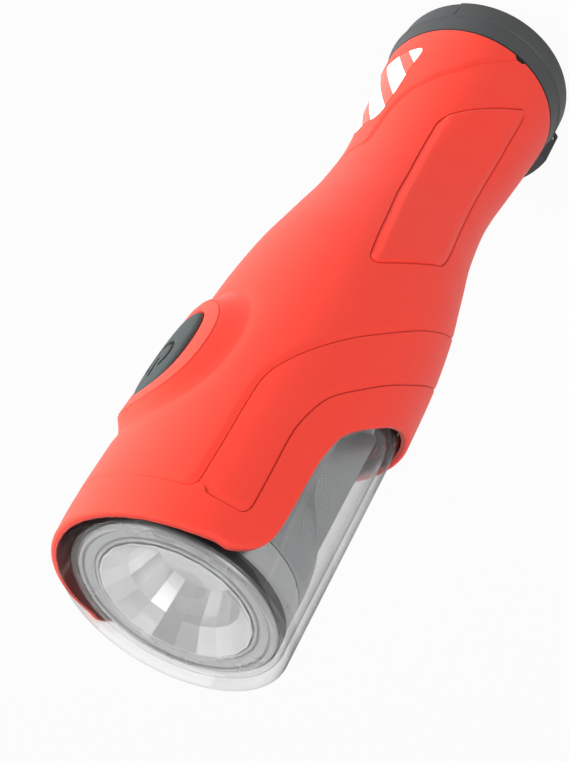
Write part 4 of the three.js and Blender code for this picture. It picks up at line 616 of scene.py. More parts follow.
def makeGripSkin():
    s = skin
    lines = gripLines()

    def outside(points):
        rise, paintedShade = skinRise(points, lines)
        return gripRadius(points[:, 0]) + rise, paintedShade

    def inside(points):
        return innerRadius(points[:, 0]), 0.0

    # the three edges of the half skin, each rounded off from the outer surface to the inner one
    fullEnds, holeEnds = [(0, 0), (-1, 180)], [(0, 0), (-1, 0)]
    front = onMiddle(curveThrough(s.frontEdge, s.edgeSpacing), fullEnds)
    tail = gripForm["rear"]
    rear = np.array([(tail, arcAt(tail, 180) * i / s.rearCount) for i in range(s.rearCount + 1)])
    aside = s.notchHalfWidth - np.abs(rear[:, 1] - arcAt(tail, s.notchAngle))
    rear[:, 0] += s.notchDepth * smoothStep(aside / s.notchSlope + 0.5)
    hole = onMiddle(oval(s.holeCentre, s.holeHalfLength, s.holeHalfWidth, 56, s.holePower), holeEnds)
    build = bmesh.new()
    outerEdges, innerEdges = [], []
    for line, roundOff, ends in ((front, s.edgeRound, fullEnds), (rear, -s.tailRound, fullEnds),
                                 (hole, -s.holeRound, holeEnds)):
        rows = []
        for k in range(s.roundSteps + 1):
            angle = math.pi / 2 * k / s.roundSteps
            moved = edgeOffsets(line, roundOff * (1 - math.sin(angle)), ends)
            rows.append(wrap(moved, outside(moved)[0] - abs(roundOff) * (1 - math.cos(angle))))
            if k == 0:
                outerEdges.append(moved)
        deep = onMiddle(line, ends)
        rows += [wrap(deep, innerRadius(deep[:, 0]) + lift) for lift in (s.wallLip, 0)]
        innerEdges.append(deep)
        # the rows inside each cut edge carry the painted shade
        meshStrip(build, rows, [0] * s.roundSteps + [1, 1, 1])
    # border of each half: rear edge, hidden side, front edge, button side with the hole
    drawn, avoid = drawnRows(lines)
    for edges, surface, rows in ((outerEdges, outside, drawn + singlePoints(s.grid, avoid)),
                                 (innerEdges, inside, singlePoints(s.innerGrid))):
        front, rear, hole = edges
        meshHalf(build, np.vstack([
            rear, sideRow(rear[-1, 0], front[-1, 0], 180), front[::-1],
            sideRow(front[0, 0], hole[0, 0], 0), hole, sideRow(hole[-1, 0], rear[0, 0], 0),
        ]), rows, surface)
    piece = meshPiece("gripSkin", build)
    editAll(piece, bpy.ops.mesh.remove_doubles, threshold=0.004 * mm)
    mirrorHalf(piece)
    smoothByAngle(piece, 38)
    return piece


gripPiece = makeGripSkin()
print("grip skin:", len(gripPiece.data.polygons), "faces")

# soft-touch elastomer over a rigid core, moulded: an even satin red that spreads highlights widely
softRed = wornFinish("softTouchElastomer", "#ff4535", ("#ff4333", "#ff4737"), 0.48, 0.0, 0.35, 0.006, 22, (0.46, 0.54),
                     Specular_IOR_Level=0.3, Sheen_Weight=0.1, Sheen_Roughness=0.4)
# painted shade: the floors of the parting slots, the label's recess and the inner rows of the cut edges are painted a
# deeper red that stands in for the shade they hold
tree, shader, plain, normal = shaderOf(softRed)
paintedSlotShade = addNode(tree, "ShaderNodeAttribute", {}, attribute_name="paintedShade").outputs["Fac"]
tree.links.new(mixNode(tree, paintedSlotShade, plain, "#d0392a"), shader.inputs["Base Color"])
# inner wall of the moulding: the skin's red plastic painted dark maroon and dull, as painted shade standing in for how
# dim it looks through the clear cover
shadedRedWall = wornFinish("paintedShadeInnerWall", "#b23a33", ("#6c211e", "#802e2a"), 0.6, 0.0, 0.5, 0.01, 12)
finishPiece(gripPiece, "housing", [softRed, shadedRedWall], ["grip_shell"])
# faces on the inner wall take the painted-shade maroon
for face in gripPiece.data.polygons:
    x, y, z = face.center
    facing = face.normal.x * x + face.normal.y * y
    if facing < 0 and abs(math.hypot(x, y) - float(innerRadius(z / mm)) * mm) < 0.4 * mm:
        face.material_index = 1

# printed label, flush in its recess
label = {"thickness": 0.35, "sunk": 0.03, "grid": 1.2, "rearMargin": 0.8, "frontMargin": 0.4, "sideCount": 24,
         "bar": 5.9, "pitch": 9.6, "slope": 1.8, "start": -14.7}


def makeLabel():
    p = SimpleNamespace(**label)
    line = onMiddle(gripLines()["label"], [(0, 0), (-1, 0)])
    low, high = line[-1, 0], line[0, 0]
    side = np.array([(z, 0.0) for z in np.linspace(low, high, p.sideCount)[1:-1]])
    rows = [np.array([[z, arc]]) for z in np.arange(low + p.rearMargin, high - p.frontMargin, p.grid)
            for arc in np.arange(p.grid / 2, skin.labelSide, p.grid)]
    build = bmesh.new()
    meshHalf(build, np.vstack([line, side]), rows, lambda points: (gripRadius(points[:, 0]) - p.sunk, 0.0))
    piece = meshPiece("stripeLabel", build)
    mirrorHalf(piece)
    if piece.data.polygons[0].normal.y > 0:
        piece.data.flip_normals()
    applyModifier(piece, "SOLIDIFY", thickness=p.thickness * mm, offset=-1)
    smoothByAngle(piece)
    return piece


labelPiece = makeLabel()
# printed vinyl film: crisp white bars on the same red, with a faint gloss
vinyl = wornFinish("printedVinylFilm", "#f8f8f6", ("#fbfbf9", "#f4f4f2"), 0.34, 0.0, 0.6, 0.004, 6,
                   Coat_Weight=0.2, Coat_Roughness=0.2)
tree, shader, white, normal = shaderOf(vinyl)
across = addNode(tree, "ShaderNodeSeparateXYZ", {"Vector": objectPlace(tree)})
rise = mathNode(tree, "MULTIPLY", across.outputs["Z"], -1000 / label["slope"])
lean = mathNode(tree, "MULTIPLY_ADD", across.outputs["X"], -1000.0, rise)
repeat = mathNode(tree, "WRAP", mathNode(tree, "SUBTRACT", lean, label["start"]), label["pitch"], 0.0)
bars = mixNode(tree, mathNode(tree, "GREATER_THAN", repeat, label["bar"]), white, "#ff5a4b")
tree.links.new(bars, shader.inputs["Base Color"])
finishPiece(labelPiece, "housing", [vinyl], ["stripe_label"])
print("label made")


# head
clearCup = {"radius": 28.0, "wall": 1.8, "rear": 132.0, "front": 206.0, "lip": 0.4, "rim": 2.2, "plate": 1.4,
            "cutHeight": 184.0, "cutOffset": 3.0, "round": 1.0, "innerRound": 1.6, "chamfer": 0.3,
            "ripple": 0.004, "rippleScale": 45.0, "edgePower": 7.0, "clearness": 0.84, "edgeLoss": 0.55}


def makeClearCup():
    c = SimpleNamespace(**clearCup)
    inner, face, rim = c.radius - c.wall, c.front + c.lip, c.radius - c.rim
    under = c.front - c.plate
    outline = [(0, under)] + arcPoints(c.innerRound, 90, -90, 4, inner - c.innerRound, under - c.innerRound)
    outline += [(inner, c.rear + c.chamfer), (inner + c.chamfer, c.rear),
                (c.radius - c.chamfer, c.rear), (c.radius, c.rear + c.chamfer)]
    outline += arcPoints(c.round, 0, 90, 6, c.radius - c.round, face - c.round)
    outline += [(rim + 0.2, face), (rim - 0.2, face - 0.15), (rim - 0.5, c.front), (0, c.front)]
    piece = turnedPiece("clearCup", outline, 144)
    cutWith(piece, blockPiece("cupTrim", (-40, -40, c.rear - 5), (40, -c.cutOffset, c.cutHeight)))
    smoothByAngle(piece, 30)
    return piece


cupPiece = makeClearCup()
# moulded acrylic, polished: water clear, with painted shade at its edges, where the see-through share turns near black
# towards grazing angles; the shadow ray passes, so the lamp inside is lit
acrylic, tree, shader = newFinish("polishedAcrylic", "#ffffff", 0.015, Transmission_Weight=1.0, IOR=1.4)
place = objectPlace(tree)
flow = addNode(tree, "ShaderNodeTexNoise", {"Scale": clearCup["rippleScale"], "Detail": 1.0, "Vector": place})
tree.links.new(bumpNode(tree, flow.outputs["Fac"], clearCup["ripple"]), shader.inputs["Normal"])
ray = addNode(tree, "ShaderNodeLightPath", {})
slant = addNode(tree, "ShaderNodeLayerWeight", {"Blend": 0.5}).outputs["Facing"]
edgeOn = mathNode(tree, "POWER", slant, clearCup["edgePower"])
# painted shade: the see-through colour darkens to near black at grazing angles
through = addNode(tree, "ShaderNodeBsdfTransparent", {"Color": mixNode(tree, edgeOn, "#fbfbfb", "#0c0d0e")})
gloss = mathNode(tree, "MULTIPLY_ADD", edgeOn, -clearCup["edgeLoss"], clearCup["clearness"])
surfaceMix(tree, mathNode(tree, "MAXIMUM", ray.outputs["Is Shadow Ray"], gloss), shader, through)
finishPiece(cupPiece, "housing", [acrylic], ["clear_head_cover"])

# the bezel's face as steps: how far past each radius, and how far under the front
bezel = {"outer": 24.4, "rim": 23.3, "opening": 18.75, "rear": 192.5, "front": 204.3, "wall": 1.3,
         "plate": 2.6, "shoulder": 3.9, "round": 0.12,
         "outerSteps": [(0, 1.6), (-0.25, 0.7)],
         "rimSteps": [(0.1, 0.05), (-0.35, 0), (-0.6, 0.1), (-0.75, 0.95), (-0.95, 0.95), (-1.1, 0.45)],
         "openingSteps": [(1.3, 0.8), (1.15, 1.3), (0.95, 1.3), (0.8, 0.5), (0.3, 0.4), (0.05, 0.5), (0, 0.7), (0, 2.6)]}


def makeBezel():
    b = SimpleNamespace(**bezel)
    outline = [(b.outer, b.rear)]
    for radius, steps in ((b.outer, b.outerSteps), (b.rim, b.rimSteps), (b.opening, b.openingSteps)):
        outline += [(radius + past, b.front - under) for past, under in steps]
    bore = b.outer - b.wall
    outline += [(b.rim - b.wall, b.front - b.plate), (bore, b.front - b.shoulder), (bore, b.rear)]
    piece = turnedPiece("frontBezel", outline, 128)
    softenEdges(piece, b.round, segments=2, angle=25)
    return piece


# metallised ABS with a satin spray: soft grey metal with even, slightly cloudy reflections
satinBezel = wornFinish("satinMetallisedPlastic", "#bdbebf", ("#b9babb", "#c2c3c4"), 0.28, 0.85, 0.18, 0.002, 7,
                        (0.25, 0.31))
finishPiece(makeBezel(), "housing", [satinBezel], ["front_bezel"])

# a black ring round the bezel that stands in for the shade in the gap, seen through the clear cover on its near side
shadeRing = {"inner": 24.3, "outer": 24.75, "low": 199.8, "high": 203.2, "round": 0.2}
s = SimpleNamespace(**shadeRing)
shadeRingPiece = turnedPiece("bezelShadeRing", [(s.inner, s.low), (s.outer - s.round, s.low), (s.outer, s.low + s.round),
                                      (s.outer, s.high - s.round), (s.outer - s.round, s.high), (s.inner, s.high)], 128)
# painted shade: black, faintly mottled
shadeRingBlack = wornFinish("paintedShadeRingBlack", "#161719", ("#131416", "#1b1c1e"), 0.5, 0.0, 0.3, 0.004, 4, (0.44, 0.56))
finishPiece(shadeRingPiece, "housing", [shadeRingBlack])

# rings of mirror panels as (radius, height), from the lamp's throat to the mouth
reflector = {"columns": 20, "turn": -3.0, "wall": 0.9, "lip": 0.35, "flange": 21.8, "seat": 201.4,
             "tiers": [(4.6, 176.2), (4.9, 190.0), (10.4, 191.6), (13.8, 199.5), (18.2, 204.0)]}


def makeReflector():
    # the mouth stands up inside the bezel, on a flange behind it
    r = SimpleNamespace(**reflector)
    (throat, floor), (mouth, top) = r.tiers[0], r.tiers[-1]
    outline = r.tiers + [(mouth + r.lip, top), (mouth + r.lip, r.seat), (r.flange, r.seat),
                         (r.flange, r.seat - r.wall), (mouth, r.seat - r.wall)]
    outline += [(radius + r.wall, z - r.wall) for radius, z in r.tiers[-2:0:-1]] + [(throat + r.wall, floor)]
    piece = turnedPiece("facetReflector", outline, r.columns)
    piece.data.transform(Matrix.Rotation(math.radians(r.turn), 4, "Z"))
    makeActive(piece)
    bpy.ops.object.shade_flat()
    return piece


# vacuum-metallised lacquer: a true mirror, slightly uneven from panel to panel
mirrorLacquer = wornFinish("vacuumMetallisedMirror", "#f4f4f4", ("#f0f0f1", "#f8f8f8"), 0.32, 1.0, 2.5, 0.004, 14,
                           (0.29, 0.35))
finishPiece(makeReflector(), "housing", [mirrorLacquer], ["reflector"])

# a flared bowl on a flat-sided box; boxSide is the box's side outline as (depth under the axis, height)
lampBody = {"rear": 143.3, "radius": 18.6, "outer": 24.4, "front": 192.2, "flareStart": 163.0, "flareEnd": 190.0,
            "flare": [(0, 0), (0.12, 0.03), (0.27, 0.18), (0.42, 0.45), (0.56, 0.74), (0.7, 0.91), (0.86, 0.985),
                      (1, 1)],
            "flareSteps": 24, "wall": 1.5, "floor": 2.0, "boxHalfWidth": 16.0, "boxFace": 17.8,
            "boxSide": [(2.0, 152.0), (9.4, 152.0), (10.8, 150.56), (12.0, 148.0), (14.2, 145.44), (17.0, 144.0),
                        (17.8, 144.8), (17.8, 186.0), (2.0, 186.0)],
            "windowHalf": 12.8, "windowRear": 148.2, "windowFront": 177.8, "windowLedge": 1.8,
            "seatDepth": 1.1, "mouthDepth": 5.2, "overrun": 5.0}


def lampOutline(inset):
    b = SimpleNamespace(**lampBody)
    points = [(b.radius - inset, b.rear)]
    for i in range(b.flareSteps + 1):
        share = i / b.flareSteps
        grown = float(blend(b.flare, share))
        points.append((b.radius - inset + (b.outer - b.radius) * grown,
                       b.flareStart + (b.flareEnd - b.flareStart) * share))
    return points + [(b.outer - inset, b.front)]


def makeLampBody():
    b = SimpleNamespace(**lampBody)
    bowl = turnedPiece("lampBody", [(0, b.rear)] + lampOutline(0) + [(0, b.front)], 112)
    sideways = ((0, 0, 1), (1, 0, 0), (0, 1, 0))
    cutWith(bowl, outlinePiece("lampBox", b.boxSide, -b.boxHalfWidth, b.boxHalfWidth, sideways), "UNION")
    softenEdges(bowl, 0.32, segments=3, angle=24)
    end, floor, bore = b.front + b.overrun, b.rear + b.floor, b.radius - b.wall
    cutWith(bowl, turnedPiece("lampHollow", [(0, floor), (bore, floor)] + lampOutline(b.wall)[2:-1]
                              + [(b.outer - b.wall, end), (0, end)], 96))
    # the diffuser's seat, and behind it the mouth that the lamps shine through
    for name, inset, depth in (("diffuserSeat", 0, b.seatDepth), ("diffuserMouth", b.windowLedge, b.mouthDepth)):
        cutWith(bowl, blockPiece(name, (-b.windowHalf + inset, b.boxFace - depth, b.windowRear + inset),
                                 (b.windowHalf - inset, b.boxFace + b.overrun, b.windowFront - inset)))
    smoothByAngle(bowl, 40)
    return bowl


# sprayed silver over ABS: fine metal flake, a soft sheen that follows the flare
silverSpray = wornFinish("sprayedSilverPlastic", "#999c9d", ("#949798", "#a0a3a4"), 0.3, 0.85, 0.16, 0.003, 10,
                         (0.27, 0.33))
finishPiece(makeLampBody(), "housing", [silverSpray], ["lamp_housing"])
print("head made")


# button
# dome: shares of the outline's size, and how deep each ring lies under the crown
pad = {"centre": 154.0, "halfLength": 13.8, "halfWidth": 8.5, "crown": 33.3, "end": 32.7, "flange": 26.4,
       "sides": 72, "power": 0.82, "footMargin": 0.8, "footHeight": 0.7,
       "dome": [(1, 6.9), (1, 1.0), (0.99, 0.5), (0.955, 0.16), (0.9, 0.03), (0.78, 0), (0.6, 0), (0.4, 0), (0.2, 0)],
       "markCentre": 156.0, "markRadius": 4.4, "markLine": 0.55, "markOpening": 30, "markDepth": 0.45, "markSteps": 40,
       "barLow": 0.4, "barHigh": 6.4}


def markOutlines():
    # the power mark: an open ring and a bar
    p = SimpleNamespace(**pad)
    outer, inner = (arcPoints(p.markRadius + side * p.markLine, 90 + p.markOpening, 360 - 2 * p.markOpening,
                              p.markSteps, 0, p.markCentre) for side in (1, -1))
    low, high = p.markCentre + p.barLow, p.markCentre + p.barHigh
    return outer + inner[::-1], [(-p.markLine, low), (p.markLine, low), (p.markLine, high), (-p.markLine, high)]


def makePad():
    p = SimpleNamespace(**pad)
    build = bmesh.new()
    made = []
    for share, drop in p.dome:
        ring = []
        for i in range(p.sides):
            c, s = math.cos(2 * math.pi * i / p.sides), math.sin(2 * math.pi * i / p.sides)
            x = p.halfWidth * share * math.copysign(abs(s) ** p.power, s)
            along = p.halfLength * share * math.copysign(abs(c) ** p.power, c)
            radius = p.crown - (p.crown - p.end) * (along / p.halfLength) ** 2
            y = -math.sqrt(max(radius ** 2 - x ** 2, 1)) + drop
            ring.append(build.verts.new(Vector((x, min(y, -p.flange), p.centre + along)) * mm))
        made.append(ring)
    top = build.verts.new(Vector((0, -p.crown, p.centre)) * mm)
    for i in range(p.sides):
        ahead = (i + 1) % p.sides
        for a, b in zip(made, made[1:]):
            build.faces.new((a[i], a[ahead], b[ahead], b[i]))
        build.faces.new((made[-1][i], made[-1][ahead], top))
    build.faces.new(made[0])
    bmesh.ops.recalc_face_normals(build, faces=build.faces)
    piece = meshPiece("buttonPad", build)
    halfWidth, halfLength = p.halfWidth + p.footMargin, p.halfLength + p.footMargin
    foot = blockPiece("buttonFoot", (-halfWidth, -p.flange - 0.02, p.centre - halfLength),
                      (halfWidth, -p.flange + p.footHeight, p.centre + halfLength))
    softenEdges(foot, 2.5, segments=4, angle=30)
    cutWith(piece, foot, "UNION")
    # the mark is sunk to an even depth under the dome
    for outline in markOutlines():
        tool = outlinePiece("markTool", outline, 20, 40, ((1, 0, 0), (0, 0, -1), (0, 1, 0)))
        cutWith(tool, rodPiece("markFloor", p.crown - p.markDepth, 100, 200, sides=160))
        cutWith(piece, tool)
    smoothByAngle(piece, 40)
    return piece


padPiece = makePad()
# silicone rubber, moulded with a fine matt face; the generic power mark is sunk into it and painted black
silicone = wornFinish("matteSiliconeRubber", "#3c4343", ("#394040", "#404747"), 0.6, 0.0, 0.3, 0.008, 5)
# mark paint: deep black in the sunk strokes
markPaint = wornFinish("sunkMarkPaint", "#0b0c0d", ("#090a0b", "#0f1011"), 0.4, 0.0, 0.3, 0.006, 2)
finishPiece(padPiece, "button", [silicone, markPaint], ["power_button"])
for face in padPiece.data.polygons:
    x, y, z = face.center / mm
    sunk = pad["crown"] - math.hypot(x, y) > pad["markDepth"] - 0.1 or abs(face.normal.y) < 0.6
    nearMark = math.hypot(x, z - pad["markCentre"]) < pad["markRadius"] + pad["markLine"] + 0.6
    face.material_index = 1 if nearMark and sunk else 0
print("button made")


# crank cap, arm, hinge and knob
crank = {"radius": 26.9, "height": 12.9, "band": 6.9, "shoulder": 26.0, "chamfer": 0.7, "gap": 0.3,
         "armThickness": 4.5, "armRoot": 3.6, "armStraight": 12.0, "armDrop": 0.7, "tipAngle": 36.0,
         "lip": 2.2, "lipDrop": 2.1,
         "hinge": 26.2, "hingeHeight": 2.4, "blockHalf": 6.4, "blockRadius": 28.7, "blockFace": 21.6, "blockTop": 12.6,
         "keyWidth": 1.3, "keyDepth": 1.6, "keyHeight": 2.5, "pinRadius": 1.2, "shaftRadius": 2.75, "shaftSeat": 6.0,
         "screwRadius": 3.2, "screwDepth": 6.8, "rivetRadius": 2.1, "rivetHead": 3.4, "rivetSink": 1.5, "knob": 15.5,
         "knobRadius": 6.5, "knobRear": 4.8, "knobHeight": 6.5, "knobSwing": 1.3, "knobSink": 1.3, "knobSinkRadius": 3.6,
         "flutes": 12, "fluteRadius": 0.55, "fluteEnd": 1.5, "through": 40,
         # the arm's weight-saving pocket, and the knob's side as (under its radius, from its nearer end)
         "pocketHalf": 2.4, "pocketRear": -3, "pocketFront": 15, "pocketFloor": 2.2,
         "knobEdge": [(0.9, 0), (0.25, 0.25), (0, 0.9), (0.35, 1.9)], "knobWaist": 0.5}
k = SimpleNamespace(**crank)


def armOutline(grow):
    radius = k.radius - k.armDrop
    tip = math.radians(k.tipAngle)
    tipX, tipY = radius * math.sin(tip) + grow, -radius * math.cos(tip)
    root, neck = k.armRoot + grow, k.hinge - k.armStraight
    curve = [(root, neck), (root, neck - radius * 0.6), (tipX, neck - radius * 0.8), (tipX, tipY)]
    side = []
    for i in range(25):
        t = i / 24
        w = ((1 - t) ** 3, 3 * (1 - t) ** 2 * t, 3 * (1 - t) * t ** 2, t ** 3)
        side.append(tuple(sum(share * point[axis] for share, point in zip(w, curve)) for axis in (0, 1)))
    start = math.degrees(math.atan2(tipY, tipX))
    arc = arcPoints(math.hypot(tipX, tipY), start, -180 - 2 * start, 40)[1:-1]
    return [(root, k.hinge)] + side + arc + [(-x, y) for x, y in side[::-1]] + [(-root, k.hinge)]


def rimSector(name, inner, outer, halfAngle, low, high):
    far, near = (arcPoints(radius, -90 - halfAngle, 2 * halfAngle, 48) for radius in (outer, inner))
    return outlinePiece(name, far + near[::-1], low, high)


def makeCap():
    cap = turnedPiece("crankCap", [
        (0, 0), (k.radius - k.chamfer, 0), (k.radius, k.chamfer), (k.radius, k.band), (k.radius - 0.3, k.band + 0.3),
        (k.shoulder, k.height), (0, k.height)], 160)
    g = k.gap
    tip = k.radius - k.armDrop
    key = k.blockHalf + k.keyWidth + g
    for tool in (
        outlinePiece("armRecess", armOutline(g), -1, k.armThickness + g),
        rimSector("lipRecess", tip - k.lip - g, k.radius + 1, k.tipAngle + math.degrees(g / tip), -1,
                  k.armThickness + k.lipDrop + g),
        rodPiece("knobWell", k.knobRadius + k.knobSwing, -1, k.knobRear + k.knobHeight + 2 * g, 0, -k.knob),
        rodPiece("screwPocket", k.screwRadius, -1, k.screwDepth),
        rodPiece("shaftBore", k.shaftRadius, k.shaftSeat, k.through),
        blockPiece("hingePocket", (-k.blockHalf - g, k.blockFace - g, -1), (k.blockHalf + g, k.through, k.through)),
        blockPiece("keyPocket", (-key, k.blockFace - g, k.keyHeight - g),
                   (key, k.blockFace + k.keyDepth + g, k.through)),
    ):
        cutWith(cap, tool)
    softenEdges(cap, 0.28, angle=30)
    return cap


def hingeBar(name, radius, reach):
    # a round bar along X, on the hinge's axis
    deselect()
    bpy.ops.mesh.primitive_cylinder_add(vertices=48, radius=radius * mm, depth=2 * reach * mm,
                                        rotation=(0, math.pi / 2, 0), location=(0, k.hinge * mm, k.hingeHeight * mm))
    return named(name)


def makeHingeBlock():
    far = k.through
    half = k.blockHalf + k.keyWidth
    piece = blockPiece("hingeBlock", (-k.blockHalf, k.blockFace, 0), (k.blockHalf, far, k.blockTop))
    cutWith(piece, rodPiece("blockRound", k.blockRadius, -5, 20, sides=192), "INTERSECT")
    cutWith(piece, blockPiece("blockKey", (-half, k.blockFace, k.keyHeight),
                              (half, k.blockFace + k.keyDepth, k.blockTop)), "UNION")
    corner = blockPiece("blockCorner", (-30, k.hinge, -1), (30, far, k.hingeHeight))
    cutWith(corner, hingeBar("knuckle", k.hingeHeight, 31))
    cutWith(piece, corner)
    slot = k.armRoot + k.gap
    cutWith(piece, blockPiece("blockSlot", (-slot, 0, -1), (slot, far, k.hingeHeight * 2 + k.gap)))
    cutWith(piece, hingeBar("pinBore", k.pinRadius, 30))
    softenEdges(piece, 0.3, segments=3, angle=30)
    return piece


def makeArm():
    tip = k.radius - k.armDrop
    arm = outlinePiece("crankArm", armOutline(0), 0, k.armThickness)
    lipTop = k.armThickness + k.lipDrop
    cutWith(arm, rimSector("armLip", tip - k.lip, tip, k.tipAngle, k.armThickness / 2, lipTop), "UNION")
    cutWith(arm, blockPiece("armCorner", (-30, k.hinge - 0.001, -1), (30, k.through, k.armThickness + 1)))
    cutWith(arm, hingeBar("armKnuckle", k.hingeHeight, k.armRoot), "UNION")
    for tool in (
        blockPiece("armPocket", (-k.pocketHalf, k.pocketRear, k.pocketFloor), (k.pocketHalf, k.pocketFront, 10)),
        hingeBar("armPinBore", k.pinRadius, 30),
        rodPiece("rivetBore", k.rivetRadius, -1, 10, 0, -k.knob),
        rodPiece("rivetSink", k.rivetHead, -1, k.rivetSink, 0, -k.knob),
    ):
        cutWith(arm, tool)
    softenEdges(arm, 0.3, angle=30)
    return arm


def makeKnob():
    r, low, high = k.knobRadius, k.knobRear, k.knobRear + k.knobHeight
    outline = [(k.rivetRadius, low)] + [(r - under, low + rise) for under, rise in k.knobEdge]
    outline += [(r - k.knobWaist, (low + high) / 2)] + [(r - under, high - fall) for under, fall in k.knobEdge[::-1]]
    outline += [(k.knobSinkRadius, high), (k.knobSinkRadius, high - k.knobSink), (k.rivetRadius, high - k.knobSink)]
    knob = turnedPiece("crankKnob", outline, 96)
    # finger flutes round the waist
    for x, y in arcPoints(r + 0.1, 0, 360, k.flutes)[:-1]:
        cutWith(knob, rodPiece("flute", k.fluteRadius, low + k.fluteEnd, high - k.fluteEnd, x, y, 20))
    knob.data.transform(Matrix.Translation((0, -k.knob * mm, 0)))
    smoothByAngle(knob)
    return knob


# glass-filled ABS from a spark-eroded mould: charcoal, a fine dry grain with a soft sheen
charcoal = wornFinish("sparkErodedCharcoal", "#404344", ("#3d4041", "#434647"), 0.46, 0.0, 0.4, 0.02, 12, (0.42, 0.5))
# polished acetal block: near black with a clear gloss
glossBlack = wornFinish("polishedBlackAcetal", "#141618", ("#121416", "#181a1c"), 0.16, 0.0, 1.2, 0.004, 6, (0.13, 0.2),
                        Coat_Weight=0.3, Coat_Roughness=0.1)
finishPiece(makeCap(), "crank", [charcoal], ["crank_cap"])
finishPiece(makeHingeBlock(), "crank", [glossBlack], ["hinge_block"])
finishPiece(makeArm(), "arm", [charcoal], ["crank_arm"])
finishPiece(makeKnob(), "knob", [charcoal], ["crank_knob"])
print("crank made")


# finishes of the carried-over CAD nodes
def dressNodes(finish, *names):
    for name in names:
        nodes[name].data.materials.clear()
        nodes[name].data.materials.append(finish)


# white solder mask over the lamp boards: bright, faintly speckled
dressNodes(wornFinish("whiteSolderMask", "#f2f2ee", ("#eeeeea", "#f6f6f3"), 0.4, 0.0, 0.3, 0.004, 3),
           "spot_led_board", "area_led_board")
# phosphor under a clear silicone dome: warm yellow, wet looking
dressNodes(wornFinish("phosphorDome", "#f1dd78", ("#ecd566", "#f7e78f"), 0.18, 0.0, 0.25, 0.003, 1.2,
                      Coat_Weight=0.6, Coat_Roughness=0.05),
           "spot_led", "area_led_1", "area_led_2", "area_led_3")
# frosted polycarbonate: milky white that hides the lamps behind it
dressNodes(wornFinish("frostedPolycarbonate", "#e6e8ea", ("#e2e4e6", "#ebecee"), 0.55, 0.0, 0.25, 0.01, 8,
                      Transmission_Weight=0.25),
           "area_light_diffuser")
# green solder mask over copper: glossy, with the faint weave of the glass cloth
dressNodes(wornFinish("greenSolderMask", "#1c6338", ("#185a32", "#21703f"), 0.3, 0.0, 0.5, 0.006, 2.5),
           "main_circuit_board")
# epoxy mouldings of the chip, switch and capacitor: dull black
dressNodes(wornFinish("mouldedBlackEpoxy", "#191b1d", ("#17191b", "#1e2022"), 0.5, 0.0, 0.2, 0.006, 2),
           "tact_switch", "control_chip", "charge_capacitor", "switch_stem")
# unpainted ABS chassis: mid grey, fine satin from the tool
dressNodes(wornFinish("mouldedGreyAbs", "#a6a9ab", ("#a0a3a5", "#adb0b2"), 0.5, 0.0, 0.45, 0.01, 14), "chassis")
# heat-shrunk sleeve on the cells: glossy green film with slight puckers
dressNodes(wornFinish("heatShrinkSleeve", "#2b8a58", ("#278050", "#319461"), 0.26, 0.0, 1.6, 0.02, 6, Coat_Weight=0.3),
           "battery_cell_1", "battery_cell_2", "battery_cell_3")
# nickel strip: bright, with rolling lines lost in a fine blur
dressNodes(wornFinish("rolledNickelStrip", "#bfc1c3", ("#b9bbbd", "#c6c8ca"), 0.28, 1.0, 0.15, 0.002, 4, (0.22, 0.34)),
           "battery_contact_rear", "battery_contact_front")
# turned bearing brass: warm yellow metal with tool marks too fine to count
dressNodes(wornFinish("turnedBearingBrass", "#c7a04a", ("#c0983f", "#cfaa57"), 0.3, 1.0, 0.2, 0.003, 3, (0.24, 0.36)),
           "tail_bearing")
# ground steel: cool grey, even shine
dressNodes(wornFinish("groundSteel", "#b9bdc1", ("#b2b6ba", "#c2c6c9"), 0.26, 1.0, 0.15, 0.002, 5, (0.22, 0.32)),
           "idler_pin", "wheel_pin", "generator_can", "crank_shaft", "hinge_pin", "knob_rivet", "rotor_shaft")
# enamelled copper winding, amber brown: bands along the coil's axis, with a faint wander
winding = wornFinish("enamelledCopperWinding", "#b5643a", ("#a95a32", "#c17045"), 0.3, 0.9, 0.3, 0.003, 2)
tree, shader, plain, normal = shaderOf(winding)
turns = addNode(tree, "ShaderNodeTexWave", {"Scale": 1000 / 0.5 / 6.283, "Distortion": 0.4, "Vector": objectPlace(tree)},
                wave_type="BANDS", bands_direction="Z")
tree.links.new(bumpNode(tree, turns.outputs["Fac"], 0.05, Normal=normal), shader.inputs["Normal"])
dressNodes(winding, "stator_coil")
# black zinc screws: dark metal, slightly iridescent and uneven
dressNodes(wornFinish("blackZincSteel", "#54585b", ("#4b4f52", "#5f6366"), 0.34, 1.0, 0.25, 0.004, 1.5, (0.28, 0.42)),
           *(name for name in nodes if "screw" in name))
# silicone-insulated lead: soft black
dressNodes(wornFinish("siliconeInsulation", "#222426", ("#1f2123", "#28292b"), 0.55, 0.0, 0.3, 0.004, 4),
           "generator_lead", "battery_lead", "spot_lead", "area_lead")
# natural acetal gears: ivory white, waxy
dressNodes(wornFinish("naturalAcetal", "#efece2", ("#ebe7db", "#f4f1e9"), 0.36, 0.0, 0.35, 0.004, 5,
                      Subsurface_Weight=0.1, Subsurface_Scale=0.001),
           "crank_gear", "idler_gear", "wheel_gear")
# ground ferrite magnet: dark grey, dense and slightly rough
dressNodes(wornFinish("groundFerrite", "#55585a", ("#4c4f51", "#606365"), 0.55, 0.3, 0.2, 0.008, 2), "rotor_magnet")

dressNodes(charcoal, "tail_plate", "gearbox_plate")
print("CAD nodes dressed")


# floor, world and lamps
studio = {"floorSize": 8.0, "floorWhite": 0.95, "floorMirrored": 0.45, "worldLevel": 0.6,
          "dimSide": (-0.747, -0.227, 0.624), "dimReach": 0.95, "mirrorLow": 0.22, "mirrorHigh": 1.0,
          "lampAim": (0, 0, 0.11)}
deselect()
bpy.ops.mesh.primitive_plane_add(size=studio["floorSize"])
floor = named("studioFloor")
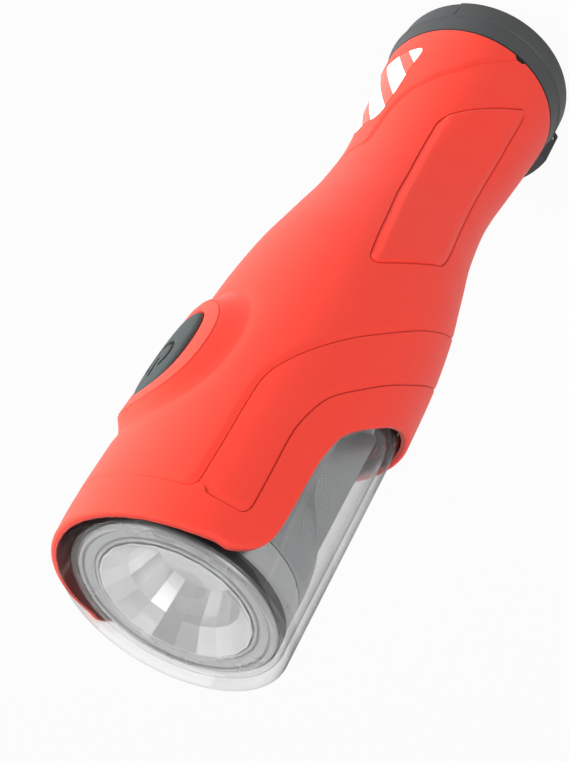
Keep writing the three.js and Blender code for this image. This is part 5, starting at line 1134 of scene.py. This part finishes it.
# matt white sweep; the camera, mirrors and glass see it as near white, with the shadow kept
sweep, tree, shader = newFinish("matteWhiteSweep", "#9c9c9c", 0.9)
ray = addNode(tree, "ShaderNodeLightPath", {}).outputs
glow = addNode(tree, "ShaderNodeEmission", {"Color": (1, 1, 1, 1), "Strength": 1.0})
mirrored = mathNode(tree, "MULTIPLY", ray["Is Glossy Ray"], studio["floorMirrored"])
seen = mathNode(tree, "MAXIMUM", ray["Is Camera Ray"], mirrored)
seen = mathNode(tree, "MAXIMUM", seen, ray["Is Transmission Ray"])
surfaceMix(tree, mathNode(tree, "MULTIPLY", seen, studio["floorWhite"]), shader, glow)
floor.data.materials.append(sweep)

world = bpy.data.worlds.new("softStudio")
scene.world = world
world.use_nodes = True
tree = world.node_tree
background = tree.nodes["Background"].inputs
ray = addNode(tree, "ShaderNodeLightPath", {}).outputs
# the room is dim on one side, which gives the metal and the clear cover their greys
around = addNode(tree, "ShaderNodeTexCoord", {}).outputs["Generated"]
facing = addNode(tree, "ShaderNodeVectorMath", {0: around, 1: studio["dimSide"]}, operation="DOT_PRODUCT")
room = addNode(tree, "ShaderNodeMapRange", {
    "Value": facing.outputs["Value"], "From Min": 0.0, "From Max": studio["dimReach"],
    "To Min": studio["mirrorHigh"], "To Max": studio["mirrorLow"]}).outputs["Result"]
sharp = mathNode(tree, "MAXIMUM", ray["Is Glossy Ray"], ray["Is Transmission Ray"])
lit = mixNode(tree, sharp, studio["worldLevel"], room, "FLOAT")
background["Color"].default_value = (1, 1, 1, 1)
tree.links.new(mixNode(tree, ray["Is Camera Ray"], lit, 1.0, "FLOAT"), background["Strength"])

# soft boxes: direction from the object, distance and size in metres, power in watts, seen in reflections or not
softBoxes = {
    "keyBox": ((0.42, -0.95, 0.36), 1.0, 0.7, 22.0, False),
    "frontBox": ((-0.9, 0.15, 0.5), 1.2, 0.9, 5.5, True),
}
for name, (direction, distance, size, power, mirrored) in softBoxes.items():
    data = bpy.data.lights.new(name, "AREA")
    data.shape = "DISK"
    data.size = size
    data.energy = power
    lamp = bpy.data.objects.new(name, data)
    lamp.visible_glossy = mirrored
    scene.collection.objects.link(lamp)
    away = Vector(direction).normalized()
    place = Matrix.Translation(Vector(studio["lampAim"]) + away * distance)
    lamp.matrix_world = place @ away.to_track_quat("Z", "Y").to_matrix().to_4x4()
print("studio lit")

deselect()
